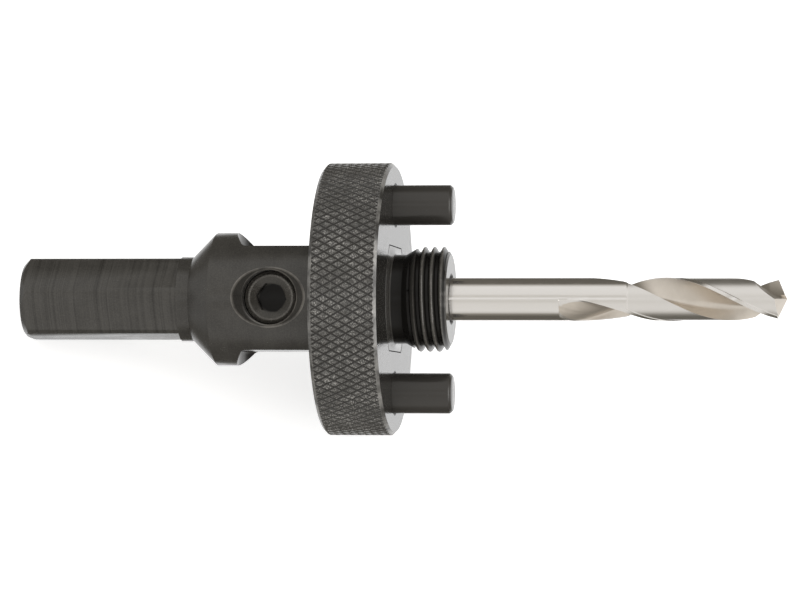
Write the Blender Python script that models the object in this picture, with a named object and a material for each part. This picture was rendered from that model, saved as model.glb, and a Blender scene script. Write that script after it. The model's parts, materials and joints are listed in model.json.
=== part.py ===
"""Hole saw arbor: hexagon shank, sliding drive collar with two pins, threaded nose and pilot drill.

The part is designed along +X, from the shank's end towards the drill's point, with the set screw
facing +Z and the wrench flats facing +Y and -Y. X = 0 is the plane where the flats end, which is
also the collar's front face. A parent empty then lays it down as it comes to rest: on the collar's
rear edge and on the end of one face of the hexagon. Units are metres.
"""
import math

import bmesh
import bpy
from mathutils import Matrix, Vector

# Shank
SHANK_AF = 0.0113
SHANK_TURNED_D = 0.0126
SHANK_LENGTH = 0.0238
SHANK_CHAMFER = 0.0009
SHANK_CLOCKING = math.radians(39.0)
NECK_LENGTH = 0.0018

# Body: cone, flange and the two wrench flats
BODY_D = 0.0198
FLANGE_WIDTH = 0.0030
FLAT_LENGTH = 0.0236
WRENCH_AF = 0.0154
MILL_R = 0.0125
FLAT_FILLET = 0.00035

# Nose
RELIEF_D = 0.0132
RELIEF_LENGTH = 0.0018
LEAD_IN_ANGLE = math.radians(30.0)
THREAD_D = 0.0156
THREAD_PITCH = 0.0254 / 18
THREAD_PHASE = math.radians(286.0)
NOSE_LENGTH = 0.0084
NOSE_FACE_D = 0.0132
NOSE_CHAMFER_ANGLE = math.radians(60.0)

# Pilot drill
PILOT_D = 0.0064
PILOT_LENGTH = 0.0816
PILOT_REACH = 0.0496
PILOT_END_CHAMFER = 0.0004
FLUTED_LENGTH = 0.0336
FLUTE_RUN_OUT = 0.0080
FLUTE_LEAD = 0.0390
FLUTE_OPENING = math.radians(90.0)
FLUTE_START_OPENING = math.radians(54.0)
FLUTE_ROOT_R = 0.0006
WEB_THICKNESS = 0.0013
MARGIN_WIDTH = 0.0006
LAND_RELIEF = 0.0001
LAND_RELIEF_START = 0.0108
POINT_ANGLE = math.radians(135.0)
LIP_CLOCKING = math.radians(155.0)
LIP_CLEARANCE_ANGLE = math.radians(10.0)
CHISEL_WIDTH = 0.00016
SPLIT_ANGLE = math.radians(32.0)
BORE_CLEARANCE = 0.00015
BORE_END_SPACE = 0.0006
BORE_MOUTH_D = 0.0077

# Set screw
SCREW_X = -0.0175
SCREW_D = 0.0078
SCREW_LENGTH = 0.00395
SCREW_CHAMFER = 0.0005
SCREW_CLEARANCE = 0.00012
SCREW_GRIP_GAP = 0.00015
SOCKET_AF = 0.0040
SOCKET_DEPTH = 0.0022
SOCKET_MOUTH_D = 0.0061
SOCKET_MOUTH_DEPTH = 0.0008
SCREW_MOUTH_D = 0.0107

# Drive collar and its pins
COLLAR_D = 0.0404
COLLAR_WIDTH = 0.0100
COLLAR_CHAMFER = 0.0005
COLLAR_CLEARANCE = 0.00015
PIN_D = 0.0060
PIN_REACH = 0.0087
PIN_CHAMFER = 0.0004
PIN_FIT_GAP = 0.00010
PIN_BACK_GAP = 0.0004
PIN_MOUTH_D = 0.0067

# Ball that drags on the collar's bore, on its spring
BALL_D = 0.0030
BALL_SETBACK = 0.0078
BALL_HOLE_GAP = 0.00015
BALL_HOLE_DEPTH = 0.0052
BALL_PROUD = 0.00008
SPRING_WIRE_D = 0.0004
SPRING_TURNS = 4.5
SPRING_GAP = 0.00015

# Facets round a full turn
BODY_SEGMENTS = 72
COLLAR_SEGMENTS = 96
PIN_SEGMENTS = 32
THREAD_SEGMENTS = 48

# Places that follow from the sizes
FLANGE_FACE_X = -FLAT_LENGTH
CONE_LENGTH = (BODY_D - SHANK_TURNED_D) / 2
CONE_END_X = FLANGE_FACE_X - FLANGE_WIDTH
NECK_END_X = CONE_END_X - CONE_LENGTH
HEX_END_X = NECK_END_X - NECK_LENGTH
SHANK_END_X = HEX_END_X - SHANK_LENGTH
THREAD_MINOR_D = THREAD_D - 1.2268 * THREAD_PITCH
PILOT_TIP_X = NOSE_LENGTH + PILOT_REACH
PILOT_REAR_X = PILOT_TIP_X - PILOT_LENGTH
BORE_D = PILOT_D + 2 * BORE_CLEARANCE
SCREW_TIP_Z = PILOT_D / 2 + SCREW_GRIP_GAP
PIN_SPACING = (COLLAR_D + WRENCH_AF) / 2
COLLAR_REAR_X = -COLLAR_WIDTH
BALL_CENTRE_R = BODY_D / 2 + BALL_PROUD - BALL_D / 2


def clear_scene():
    """Start from an empty scene."""
    for old in list(bpy.data.objects):
        bpy.data.objects.remove(old, do_unlink=True)


def steel(name, colour, roughness, metallic=1.0):
    """One Principled material with the part's colour, roughness and metallic value."""
    material = bpy.data.materials.new(name)
    material.use_nodes = True
    shader = material.node_tree.nodes["Principled BSDF"]
    shader.inputs["Base Color"].default_value = (*colour, 1.0)
    shader.inputs["Roughness"].default_value = roughness
    shader.inputs["Metallic"].default_value = metallic
    return material


def finish_mesh(name, shape):
    """Close, orient and store a bmesh as a new object at the origin."""
    bmesh.ops.remove_doubles(shape, verts=shape.verts, dist=1e-7)
    bmesh.ops.recalc_face_normals(shape, faces=shape.faces)
    if shape.calc_volume(signed=True) < 0:
        bmesh.ops.reverse_faces(shape, faces=shape.faces)
    mesh = bpy.data.meshes.new(name)
    shape.to_mesh(mesh)
    shape.free()
    mesh.shade_smooth()
    mesh.set_sharp_from_angle(angle=math.radians(25.0))
    piece = bpy.data.objects.new(name, mesh)
    bpy.context.scene.collection.objects.link(piece)
    return piece


def turned(name, profile, segments):
    """Spin (x, radius) points about the X axis into a closed solid."""
    shape = bmesh.new()
    verts = [shape.verts.new((x, 0.0, r)) for x, r in profile]
    edges = [shape.edges.new(pair) for pair in zip(verts, verts[1:])]
    bmesh.ops.spin(shape, geom=verts + edges, cent=(0, 0, 0), axis=(1, 0, 0),
                   angle=math.tau, steps=segments, use_merge=True)
    return finish_mesh(name, shape)


def prism(name, outline, direction, length):
    """Extrude a flat outline of 3-D points along a direction."""
    shape = bmesh.new()
    face = shape.faces.new([shape.verts.new(point) for point in outline])
    grown = bmesh.ops.extrude_face_region(shape, geom=[face])
    moved = [item for item in grown["geom"] if isinstance(item, bmesh.types.BMVert)]
    bmesh.ops.translate(shape, verts=moved, vec=Vector(direction) * length)
    return finish_mesh(name, shape)


def polygon(radius, count, first_angle=0.0):
    """Corners of a regular polygon, as (y, z) pairs, counted from +Z towards +Y."""
    step = math.tau / count
    return [(radius * math.sin(first_angle + i * step), radius * math.cos(first_angle + i * step))
            for i in range(count)]


def as_cutter(tool):
    """Hide a cutting tool from the render."""
    tool.hide_render = True
    tool.display_type = "WIRE"
    return tool


def combine(piece, tool, operation):
    """Add one exact Boolean step to a piece."""
    as_cutter(tool)
    step = piece.modifiers.new(tool.name, "BOOLEAN")
    step.operation = operation
    step.solver = "EXACT"
    step.object = tool


def place(piece, parent, location=(0.0, 0.0, 0.0), rotation=(0.0, 0.0, 0.0)):
    """Parent a piece and give its place in the parent's frame."""
    piece.parent = parent
    piece.location = location
    piece.rotation_euler = rotation
    return piece


def empty(name, parent=None, location=(0.0, 0.0, 0.0)):
    """A frame that carries other pieces."""
    holder = bpy.data.objects.new(name, None)
    bpy.context.scene.collection.objects.link(holder)
    return place(holder, parent, location)


def body_stock():
    """The turned outside of the body, with the thread's core running past the nose face."""
    shank_r = SHANK_TURNED_D / 2
    shoulder_x = RELIEF_LENGTH / 2
    nose_x = NOSE_LENGTH + THREAD_PITCH / 4
    return turned("arbor_body", [
        (SHANK_END_X, 0.0),
        (SHANK_END_X, shank_r - SHANK_CHAMFER),
        (SHANK_END_X + SHANK_CHAMFER, shank_r),
        (NECK_END_X, shank_r),
        (CONE_END_X, BODY_D / 2),
        (shoulder_x, BODY_D / 2),
        (shoulder_x, THREAD_MINOR_D / 2),
        (nose_x, THREAD_MINOR_D / 2),
        (nose_x, 0.0),
    ], BODY_SEGMENTS)


def thread_ridge():
    """The thread's ridge as one section swept along a right-hand helix, rooted in its core."""
    crest_half = THREAD_PITCH / 16
    base_r = THREAD_MINOR_D / 2 - 0.06 * THREAD_PITCH
    base_half = crest_half + (THREAD_D / 2 - base_r) * math.tan(math.radians(30.0))
    root_r = RELIEF_D / 2 - THREAD_PITCH / 8
    section = [(-base_half, root_r), (-base_half, base_r), (-crest_half, THREAD_D / 2),
               (crest_half, THREAD_D / 2), (base_half, base_r), (base_half, root_r)]
    start_x = RELIEF_LENGTH - THREAD_PITCH / 4
    turns = (NOSE_LENGTH + THREAD_PITCH - start_x) / THREAD_PITCH
    steps = round(turns * THREAD_SEGMENTS)
    shape = bmesh.new()
    rows = []
    for step in range(steps + 1):
        angle = THREAD_PHASE + math.tau * step / THREAD_SEGMENTS
        middle = start_x + THREAD_PITCH * step / THREAD_SEGMENTS
        rows.append([shape.verts.new((middle + x, r * math.cos(angle), r * math.sin(angle)))
                     for x, r in section])
    for row, following in zip(rows, rows[1:]):
        for i in range(len(section)):
            j = (i + 1) % len(section)
            shape.faces.new((row[i], row[j], following[j], following[i]))
    shape.faces.new(rows[0])
    shape.faces.new(rows[-1])
    return finish_mesh("thread_ridge", shape)


def nose_envelope():
    """What is left of the nose: relief neck, lead-in, thread height, chamfer and end plane."""
    far = BODY_D
    height = THREAD_D / 2 + 0.02 * THREAD_PITCH
    lead = (height - RELIEF_D / 2) / math.tan(LEAD_IN_ANGLE)
    chamfer = (height - NOSE_FACE_D / 2) / math.tan(NOSE_CHAMFER_ANGLE)
    return turned("nose_envelope", [
        (SHANK_END_X - far, 0.0),
        (SHANK_END_X - far, far),
        (0.0, far),
        (0.0, RELIEF_D / 2),
        (RELIEF_LENGTH, RELIEF_D / 2),
        (RELIEF_LENGTH + lead, height),
        (NOSE_LENGTH - chamfer, height),
        (NOSE_LENGTH, NOSE_FACE_D / 2),
        (NOSE_LENGTH, 0.0),
    ], BODY_SEGMENTS)


def pilot_bore():
    """Blind bore for the pilot drill, with its drilled end and its countersunk mouth."""
    radius = BORE_D / 2
    floor_x = PILOT_REAR_X - BORE_END_SPACE
    mouth = BORE_MOUTH_D / 2 - radius
    past = radius
    return turned("pilot_bore", [
        (floor_x - radius / math.tan(math.radians(59.0)), 0.0),
        (floor_x, radius),
        (NOSE_LENGTH - mouth, radius),
        (NOSE_LENGTH + past, radius + mouth + past),
        (NOSE_LENGTH + past, 0.0),
    ], BODY_SEGMENTS // 2)


def hexagon_cutter():
    """What the mill removes round the hexagon: a wide disc with the hexagon left standing."""
    reach = SHANK_CHAMFER * 2
    disc = turned("hexagon_cutter", [
        (SHANK_END_X - reach, 0.0),
        (SHANK_END_X - reach, SHANK_TURNED_D),
        (HEX_END_X, SHANK_TURNED_D),
        (HEX_END_X, 0.0),
    ], PIN_SEGMENTS)
    corner_r = SHANK_AF / 2 / math.cos(math.pi / 6)
    corners = polygon(corner_r, 6, SHANK_CLOCKING + math.pi / 6)
    start_x = SHANK_END_X - 2 * reach
    left = prism("hexagon_left", [(start_x, y, z) for y, z in corners], (1, 0, 0),
                 HEX_END_X + reach - start_x)
    combine(disc, left, "DIFFERENCE")
    return disc


def wrench_flat_cutter(side):
    """Milled pocket over one wrench flat: an end mill's round shoulder at the flange."""
    arc_steps = 16
    end_x = RELIEF_LENGTH / 2
    outline = [(end_x, -MILL_R)]
    for i in range(arc_steps + 1):
        angle = math.pi / 2 + math.pi * i / arc_steps
        outline.append((FLANGE_FACE_X + MILL_R + MILL_R * math.cos(angle), -MILL_R * math.sin(angle)))
    outline.append((end_x, MILL_R))
    depth = BODY_D / 2
    floor_y = WRENCH_AF / 2
    shape = bmesh.new()
    face = shape.faces.new([shape.verts.new((x, side * floor_y, z)) for x, z in outline])
    grown = bmesh.ops.extrude_face_region(shape, geom=[face])
    moved = [item for item in grown["geom"] if isinstance(item, bmesh.types.BMVert)]
    bmesh.ops.translate(shape, verts=moved, vec=(0.0, side * depth, 0.0))
    arc = [edge for edge in shape.edges
           if all(abs(v.co.y - side * floor_y) < 1e-6 and v.co.x < FLANGE_FACE_X + MILL_R + 1e-6
                  for v in edge.verts)]
    bmesh.ops.bevel(shape, geom=arc, offset=FLAT_FILLET, offset_type="OFFSET", segments=3,
                    profile=0.5, affect="EDGES", material=-1)
    return finish_mesh(f"wrench_flat_{'a' if side > 0 else 'b'}", shape)


def cross_hole(name, radius, bottom_z, mouth_r, segments):
    """Radial hole along Z, from bottom_z out through the body's skin, with an optional countersink."""
    skin = BODY_D / 2
    outside = skin * 1.5
    profile = [(bottom_z, 0.0), (bottom_z, radius)]
    if mouth_r > radius:
        profile.append((skin - (mouth_r - radius), radius))
        profile.append((outside, mouth_r + outside - skin))
    else:
        profile.append((outside, radius))
    profile.append((outside, 0.0))
    return turned(name, profile, segments)


def make_arbor_body(frame):
    """Body in one piece: turned and milled outside, then its nose threaded, then drilled."""
    body = body_stock()
    place(body, frame)
    combine(body, place(hexagon_cutter(), frame), "DIFFERENCE")
    bpy.data.objects["hexagon_left"].parent = frame
    for side in (1, -1):
        combine(body, place(wrench_flat_cutter(side), frame), "DIFFERENCE")
    combine(body, place(thread_ridge(), frame), "UNION")
    combine(body, place(nose_envelope(), frame), "INTERSECT")
    combine(body, place(pilot_bore(), frame), "DIFFERENCE")
    screw_hole = cross_hole("screw_hole", SCREW_D / 2 + SCREW_CLEARANCE, 0.0, SCREW_MOUTH_D / 2,
                            PIN_SEGMENTS)
    combine(body, place(screw_hole, frame, (SCREW_X, 0.0, 0.0), (0.0, -math.pi / 2, 0.0)), "DIFFERENCE")
    ball_hole = cross_hole("ball_hole", BALL_D / 2 + BALL_HOLE_GAP, BODY_D / 2 - BALL_HOLE_DEPTH, 0.0,
                           PIN_SEGMENTS)
    combine(body, place(ball_hole, frame, (-BALL_SETBACK, 0.0, 0.0), (0.0, math.pi / 2, 0.0)),
            "DIFFERENCE")
    body.data.materials.append(steel("black_oxide", (0.060, 0.057, 0.052), 0.38))
    return body


def make_drive_collar(frame):
    """Ring with a double-D bore that matches the body, and two pin holes in line with the flats."""
    half = COLLAR_WIDTH / 2
    radius = COLLAR_D / 2
    collar = turned("drive_collar", [
        (-half, 0.0),
        (-half, radius - COLLAR_CHAMFER),
        (-half + COLLAR_CHAMFER, radius),
        (half - COLLAR_CHAMFER, radius),
        (half, radius - COLLAR_CHAMFER),
        (half, 0.0),
    ], COLLAR_SEGMENTS)
    place(collar, frame)
    bore_r = BODY_D / 2 + COLLAR_CLEARANCE
    flat_y = WRENCH_AF / 2 + COLLAR_CLEARANCE
    reach = COLLAR_WIDTH
    corner = math.asin(flat_y / bore_r)
    arc_steps = BODY_SEGMENTS // 4
    outline = []
    for middle in (0.0, math.pi):
        for i in range(arc_steps + 1):
            angle = middle - corner + 2 * corner * i / arc_steps
            outline.append((-reach, bore_r * math.sin(angle), bore_r * math.cos(angle)))
    combine(collar, place(prism("collar_bore", outline, (1, 0, 0), 2 * reach), frame), "DIFFERENCE")
    hole_r = PIN_D / 2 + PIN_FIT_GAP
    mouth = PIN_MOUTH_D / 2 - hole_r
    for side in (1, -1):
        hole = turned(f"pin_hole_{'a' if side > 0 else 'b'}", [
            (-reach, 0.0),
            (-reach, hole_r),
            (half - mouth, hole_r),
            (half + mouth, hole_r + 2 * mouth),
            (half + mouth, 0.0),
        ], PIN_SEGMENTS)
        combine(collar, place(hole, frame, (0.0, side * PIN_SPACING / 2, 0.0)), "DIFFERENCE")
    collar.data.materials.append(steel("knurled_oxide", (0.065, 0.062, 0.058), 0.42))
    return collar


def make_drive_pin(number, side, frame):
    """One pressed pin, chamfered where it enters the saw's plate."""
    half = COLLAR_WIDTH / 2
    radius = PIN_D / 2
    start_x = -half + PIN_BACK_GAP
    end_x = half + PIN_REACH
    pin = turned(f"drive_pin_{number}", [
        (start_x, 0.0),
        (start_x, radius),
        (end_x - PIN_CHAMFER, radius),
        (end_x, radius - PIN_CHAMFER),
        (end_x, 0.0),
    ], PIN_SEGMENTS)
    place(pin, frame, (0.0, side * PIN_SPACING / 2, 0.0))
    pin.data.materials.append(steel("pin_steel", (0.070, 0.066, 0.060), 0.30))
    return pin


def helix_turn(length):
    """Angle that the flutes turn through over a length of the drill."""
    return math.tau * length / FLUTE_LEAD


def rake_points(steps):
    """Flute wall ahead of a lip, from the corner inwards, as (radius, angle from the corner).

    The lip is straight and runs beside the axis, half a web's thickness from it. The wall is what that
    lip sweeps along the helix, cut by a plane across the drill.
    """
    web = WEB_THICKNESS / 2
    reach = math.sqrt((PILOT_D / 2) ** 2 - web ** 2)
    corner = math.atan2(web, reach)
    rise = 1 / math.tan(POINT_ANGLE / 2)
    points = []
    for i in range(1, steps + 1):
        along = reach * (1 - i / steps)
        angle = math.atan2(web, along) - corner - helix_turn((reach - along) * rise)
        points.append((math.hypot(web, along), angle))
    return points


def root_and_heel_points(root_angle, heel_radius, steps):
    """Rounded root beside the web, then the straight wall up to the heel, as (radius, angle)."""
    web = WEB_THICKNESS / 2
    centre = Vector((math.cos(root_angle), math.sin(root_angle))) * (web + FLUTE_ROOT_R)
    heel = heel_radius * Vector((math.cos(FLUTE_OPENING), math.sin(FLUTE_OPENING)))
    to_centre = centre - heel
    lean = math.asin(FLUTE_ROOT_R / to_centre.length)
    along = math.atan2(to_centre.y, to_centre.x) - lean
    wall_end = heel + to_centre.length * math.cos(lean) * Vector((math.cos(along), math.sin(along)))
    first = root_angle + math.pi
    last = math.atan2(wall_end.y - centre.y, wall_end.x - centre.x) % math.tau
    places = []
    for i in range(1, steps + 1):
        angle = first + (last - first) * i / steps
        places.append(centre + FLUTE_ROOT_R * Vector((math.cos(angle), math.sin(angle))))
    places.append((wall_end + heel) / 2)
    return [(place.length, math.atan2(place.y, place.x)) for place in places]


def drill_section(depth_share, opening_share, relief):
    """Closed section of the two-flute drill: (radius, angle, share of the way behind the lip).

    Each half runs from a heel over the relieved land and the margin to the cutting corner at angle 0,
    then down the rake wall, round the root and up to the next heel.
    """
    radius = PILOT_D / 2
    heel_radius = radius - relief
    margin = MARGIN_WIDTH / radius
    land = math.pi - FLUTE_OPENING
    corner_shift = (FLUTE_OPENING - FLUTE_START_OPENING) * (1 - opening_share)
    squeeze = (FLUTE_OPENING - corner_shift) / FLUTE_OPENING
    land_steps = 6
    half = []
    for i in range(land_steps + 1):
        behind = 1 - i / land_steps
        angle = -margin * 1.2 - (land - margin * 1.2) * behind
        half.append((heel_radius, angle + corner_shift * (1 - behind), behind))
    half.append((radius, corner_shift - margin, margin / land))
    half.append((radius, corner_shift, 0.0))
    rake = rake_points(5)
    flute = [(r, angle, 0.0) for r, angle in rake]
    root = root_and_heel_points(rake[-1][1], heel_radius, 5)
    flute += [(r, angle, (i + 1) / (len(root) + 1)) for i, (r, angle) in enumerate(root)]
    for r, angle, behind in flute:
        squeezed = FLUTE_OPENING - (FLUTE_OPENING - angle) * squeeze
        half.append((radius - (radius - r) * depth_share, squeezed, behind))
    return half + [(r, angle + math.pi, behind) for r, angle, behind in half]


def split_cutter(number, clocking):
    """Notch ground behind one lip, which carries the other lip's edge in towards the axis."""
    reach = PILOT_D
    web = WEB_THICKNESS / 2
    axis = Vector((1.0, 0.0, 0.0))
    edge = Vector((0.0, -web / 2, CHISEL_WIDTH / 2 - web)).normalized()
    down = edge * math.sin(SPLIT_ANGLE) - axis * math.cos(SPLIT_ANGLE)
    side = axis.cross(edge)
    start = Vector((PILOT_TIP_X, 0.0, -CHISEL_WIDTH / 2)) - down * reach
    turn = Matrix.Rotation(clocking, 3, "X")
    outline = [start, start + axis * 2 * reach, start + side * reach]
    return prism(f"split_notch_{number}", [turn @ point for point in outline], turn @ down, 2 * reach)


def make_pilot_drill(frame):
    """Twist drill lofted from its sections, with run-out flutes, a relieved point and its split."""
    radius = PILOT_D / 2
    rise = 1 / math.tan(POINT_ANGLE / 2)
    heel_fall = math.tan(LIP_CLEARANCE_ANGLE) * (math.pi - FLUTE_OPENING)
    corner_x = PILOT_TIP_X - radius * rise
    shoulder_x = corner_x - radius * heel_fall - PILOT_END_CHAMFER
    flute_start = PILOT_TIP_X - FLUTED_LENGTH
    relief_x = flute_start + LAND_RELIEF_START
    relief_blend = 2 * LAND_RELIEF
    run_out_steps = 10
    flute_steps = 24

    stations = [flute_start + FLUTE_RUN_OUT * i / run_out_steps for i in range(run_out_steps + 1)]
    stations += [flute_start + FLUTE_RUN_OUT + (relief_x - flute_start - FLUTE_RUN_OUT) * i / 3
                 for i in (1, 2, 3)]
    start_x = relief_x + relief_blend
    stations += [start_x + (shoulder_x - start_x) * i / flute_steps for i in range(flute_steps + 1)]

    shape = bmesh.new()

    def ring(x, section, scale=1.0):
        turn = LIP_CLOCKING + helix_turn(x - corner_x)
        return [shape.verts.new((x, scale * r * math.cos(angle + turn), scale * r * math.sin(angle + turn)))
                for r, angle, behind in section]

    plain = drill_section(0.0, 0.0, 0.0)
    untwist = helix_turn(flute_start - PILOT_REAR_X)
    rear = [(r, angle + untwist, behind) for r, angle, behind in plain]
    chamfer_turn = helix_turn(PILOT_END_CHAMFER)
    front = [(r, angle - chamfer_turn, behind) for r, angle, behind in rear]
    rings = [ring(PILOT_REAR_X, rear, 1.0 - PILOT_END_CHAMFER / radius),
             ring(PILOT_REAR_X + PILOT_END_CHAMFER, front)]
    for x in stations:
        share = min(1.0, (x - flute_start) / FLUTE_RUN_OUT)
        relief = LAND_RELIEF if x > relief_x + relief_blend / 2 else 0.0
        rings.append(ring(x, drill_section(1 - (1 - share) ** 2, share, relief)))

    last = []
    for r, angle, behind in drill_section(1.0, 1.0, LAND_RELIEF):
        x = PILOT_TIP_X - r * (rise + heel_fall * behind)
        turn = LIP_CLOCKING + helix_turn(x - corner_x)
        last.append(shape.verts.new((x, r * math.cos(angle + turn), r * math.sin(angle + turn))))
    rings.append(last)
    count = len(last)
    for row, following in zip(rings, rings[1:]):
        for i in range(count):
            j = (i + 1) % count
            shape.faces.new((row[i], row[j], following[j], following[i]))
    tip = shape.verts.new((PILOT_TIP_X, 0.0, 0.0))
    for i in range(count):
        shape.faces.new((last[i], last[(i + 1) % count], tip))
    shape.faces.new(rings[0])
    drill = finish_mesh("pilot_drill", shape)
    place(drill, frame)
    lips = LIP_CLOCKING - math.asin(WEB_THICKNESS / PILOT_D)
    for number in (1, 2):
        combine(drill, place(split_cutter(number, lips + math.pi * number), frame), "DIFFERENCE")
    drill.data.materials.append(steel("ground_steel", (0.55, 0.53, 0.50), 0.25))
    return drill


def make_set_screw(frame):
    """Set screw with a coned entry to its hexagon socket, its foot just clear of the drill's shank."""
    radius = SCREW_D / 2
    length = SCREW_LENGTH
    screw = turned("set_screw", [
        (0.0, 0.0),
        (0.0, radius - 2 * SCREW_CHAMFER),
        (2 * SCREW_CHAMFER, radius),
        (length - SCREW_CHAMFER, radius),
        (length, radius - SCREW_CHAMFER),
        (length, 0.0),
    ], PIN_SEGMENTS)
    place(screw, frame, (SCREW_X, 0.0, SCREW_TIP_Z), (0.0, -math.pi / 2, 0.0))
    corners = polygon(SOCKET_AF / 2 / math.cos(math.pi / 6), 6, math.radians(8.0))
    socket = prism("key_socket", [(length - SOCKET_DEPTH, y, z) for y, z in corners], (1, 0, 0),
                   2 * SOCKET_DEPTH)
    combine(screw, place(socket, frame, screw.location, screw.rotation_euler), "DIFFERENCE")
    mouth_slope = (SOCKET_MOUTH_D - SOCKET_AF) / 2 / SOCKET_MOUTH_DEPTH
    past = SCREW_CHAMFER
    mouth = turned("socket_mouth", [
        (length - SOCKET_MOUTH_DEPTH, 0.0),
        (length - SOCKET_MOUTH_DEPTH, SOCKET_AF / 2),
        (length + past, SOCKET_MOUTH_D / 2 + past * mouth_slope),
        (length + past, 0.0),
    ], PIN_SEGMENTS)
    combine(screw, place(mouth, frame, screw.location, screw.rotation_euler), "DIFFERENCE")
    screw.data.materials.append(steel("screw_oxide", (0.045, 0.043, 0.040), 0.35))
    return screw


def make_detent(frame):
    """Ball and coil spring in the blind hole under the collar, on the side away from the screw."""
    ball_shape = bmesh.new()
    bmesh.ops.create_uvsphere(ball_shape, u_segments=20, v_segments=12, radius=BALL_D / 2)
    ball = finish_mesh("detent_ball", ball_shape)
    place(ball, frame, (-BALL_SETBACK, 0.0, -BALL_CENTRE_R))
    ball.data.materials.append(steel("bearing_steel", (0.50, 0.50, 0.50), 0.15))

    wire_r = SPRING_WIRE_D / 2
    coil_r = BALL_D / 2 - SPRING_GAP - wire_r
    sides = 6
    per_turn = 14
    floor_z = BODY_D / 2 - BALL_HOLE_DEPTH + SPRING_GAP + wire_r
    ball_touch = math.sqrt((BALL_D / 2 + wire_r + SPRING_GAP) ** 2 - coil_r ** 2)
    top_z = BALL_CENTRE_R - ball_touch
    steps = round(SPRING_TURNS * per_turn)
    spring_shape = bmesh.new()
    rows = []
    for step in range(steps + 1):
        angle = math.tau * step / per_turn
        height = floor_z + (top_z - floor_z) * step / steps
        row = []
        for side in range(sides):
            roll = math.tau * side / sides
            out = coil_r + wire_r * math.cos(roll)
            row.append(spring_shape.verts.new((out * math.cos(angle), out * math.sin(angle),
                                               -height - wire_r * math.sin(roll))))
        rows.append(row)
    for row, following in zip(rows, rows[1:]):
        for i in range(sides):
            j = (i + 1) % sides
            spring_shape.faces.new((row[i], row[j], following[j], following[i]))
    spring_shape.faces.new(rows[0])
    spring_shape.faces.new(rows[-1])
    spring = finish_mesh("detent_spring", spring_shape)
    place(spring, frame, (-BALL_SETBACK, 0.0, 0.0))
    spring.data.materials.append(steel("spring_steel", (0.30, 0.30, 0.30), 0.30))


def rest_tilt():
    """Angle by which the drill's end is raised when the collar and the hexagon's end both touch."""
    collar_x = COLLAR_REAR_X + COLLAR_CHAMFER
    corner_cut = max(0.0, SHANK_CHAMFER - (SHANK_TURNED_D - SHANK_AF) / 2)
    shank_x = SHANK_END_X + corner_cut
    return math.atan2(COLLAR_D / 2 - SHANK_AF / 2, collar_x - shank_x)


def lay_down(frame):
    """Roll a hexagon face downwards, tilt to the resting angle, and centre the part on the floor."""
    roll = Matrix.Rotation(SHANK_CLOCKING, 4, "X")
    tilt = Matrix.Rotation(-rest_tilt(), 4, "Y")
    frame.matrix_world = tilt @ roll
    bpy.context.view_layer.update()
    graph = bpy.context.evaluated_depsgraph_get()
    points = []
    for piece in bpy.context.scene.objects:
        if piece.type == "MESH" and not piece.hide_render:
            shown = piece.evaluated_get(graph)
            points += [shown.matrix_world @ v.co for v in shown.data.vertices]
    low = Vector([min(p[i] for p in points) for i in range(3)])
    high = Vector([max(p[i] for p in points) for i in range(3)])
    frame.location = (-(low.x + high.x) / 2, -(low.y + high.y) / 2, -low.z)


def main():
    """Build every sub-part in the design frame, then lay the part down."""
    clear_scene()
    frame = empty("rest_frame")
    make_arbor_body(frame)
    make_detent(frame)
    make_set_screw(frame)
    make_pilot_drill(frame)
    collar_frame = empty("collar_frame", frame, (-COLLAR_WIDTH / 2, 0.0, 0.0))
    make_drive_collar(collar_frame)
    for number, side in ((1, 1), (2, -1)):
        make_drive_pin(number, side, collar_frame)
    lay_down(frame)


main()
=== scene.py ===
"""Looks of a hole saw arbor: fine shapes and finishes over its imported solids.

Every piece is modelled along +X in the arbor's own frame, from the shank's end towards the drill's
point, with the set screw facing +Z and the wrench flats facing +Y and -Y. X = 0 is the plane of the
body's front face. The mesh is then laid down with the frame that the record's joints give. Metres.
"""
import json
import logging
import math
from dataclasses import dataclass, field
from enum import Enum

import bmesh
import bpy
from mathutils import Matrix, Vector


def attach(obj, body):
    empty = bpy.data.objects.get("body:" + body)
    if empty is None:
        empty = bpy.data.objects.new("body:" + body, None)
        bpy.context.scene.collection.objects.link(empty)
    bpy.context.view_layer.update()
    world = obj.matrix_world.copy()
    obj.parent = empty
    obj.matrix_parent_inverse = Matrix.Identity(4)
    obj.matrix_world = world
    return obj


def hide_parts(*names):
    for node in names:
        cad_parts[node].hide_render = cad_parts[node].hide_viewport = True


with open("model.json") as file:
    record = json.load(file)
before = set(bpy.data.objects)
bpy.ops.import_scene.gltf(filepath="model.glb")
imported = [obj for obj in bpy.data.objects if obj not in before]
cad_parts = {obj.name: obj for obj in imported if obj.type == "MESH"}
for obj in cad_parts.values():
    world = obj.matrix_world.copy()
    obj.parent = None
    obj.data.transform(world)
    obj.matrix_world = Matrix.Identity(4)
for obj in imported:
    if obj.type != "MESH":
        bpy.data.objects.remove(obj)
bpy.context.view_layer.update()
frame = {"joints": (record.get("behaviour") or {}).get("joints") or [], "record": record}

log = logging.getLogger("hole_saw_arbor")

Colour = tuple[float, float, float]
Point = tuple[float, float]

# Metres over which a mask rises from 0 to 1, and the angle of every thread's flanks.
STEP_WIDTH = 1e-5
THREAD_FLANK = math.radians(30.0)


class Cut(Enum):
    """How a tool changes the piece that it meets."""

    REMOVE = "DIFFERENCE"
    JOIN = "UNION"
    KEEP = "INTERSECT"


class Side(Enum):
    """The two sides of the arbor that carry a wrench flat, a drive pin or a flute."""

    UPPER = 1
    LOWER = -1


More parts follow.
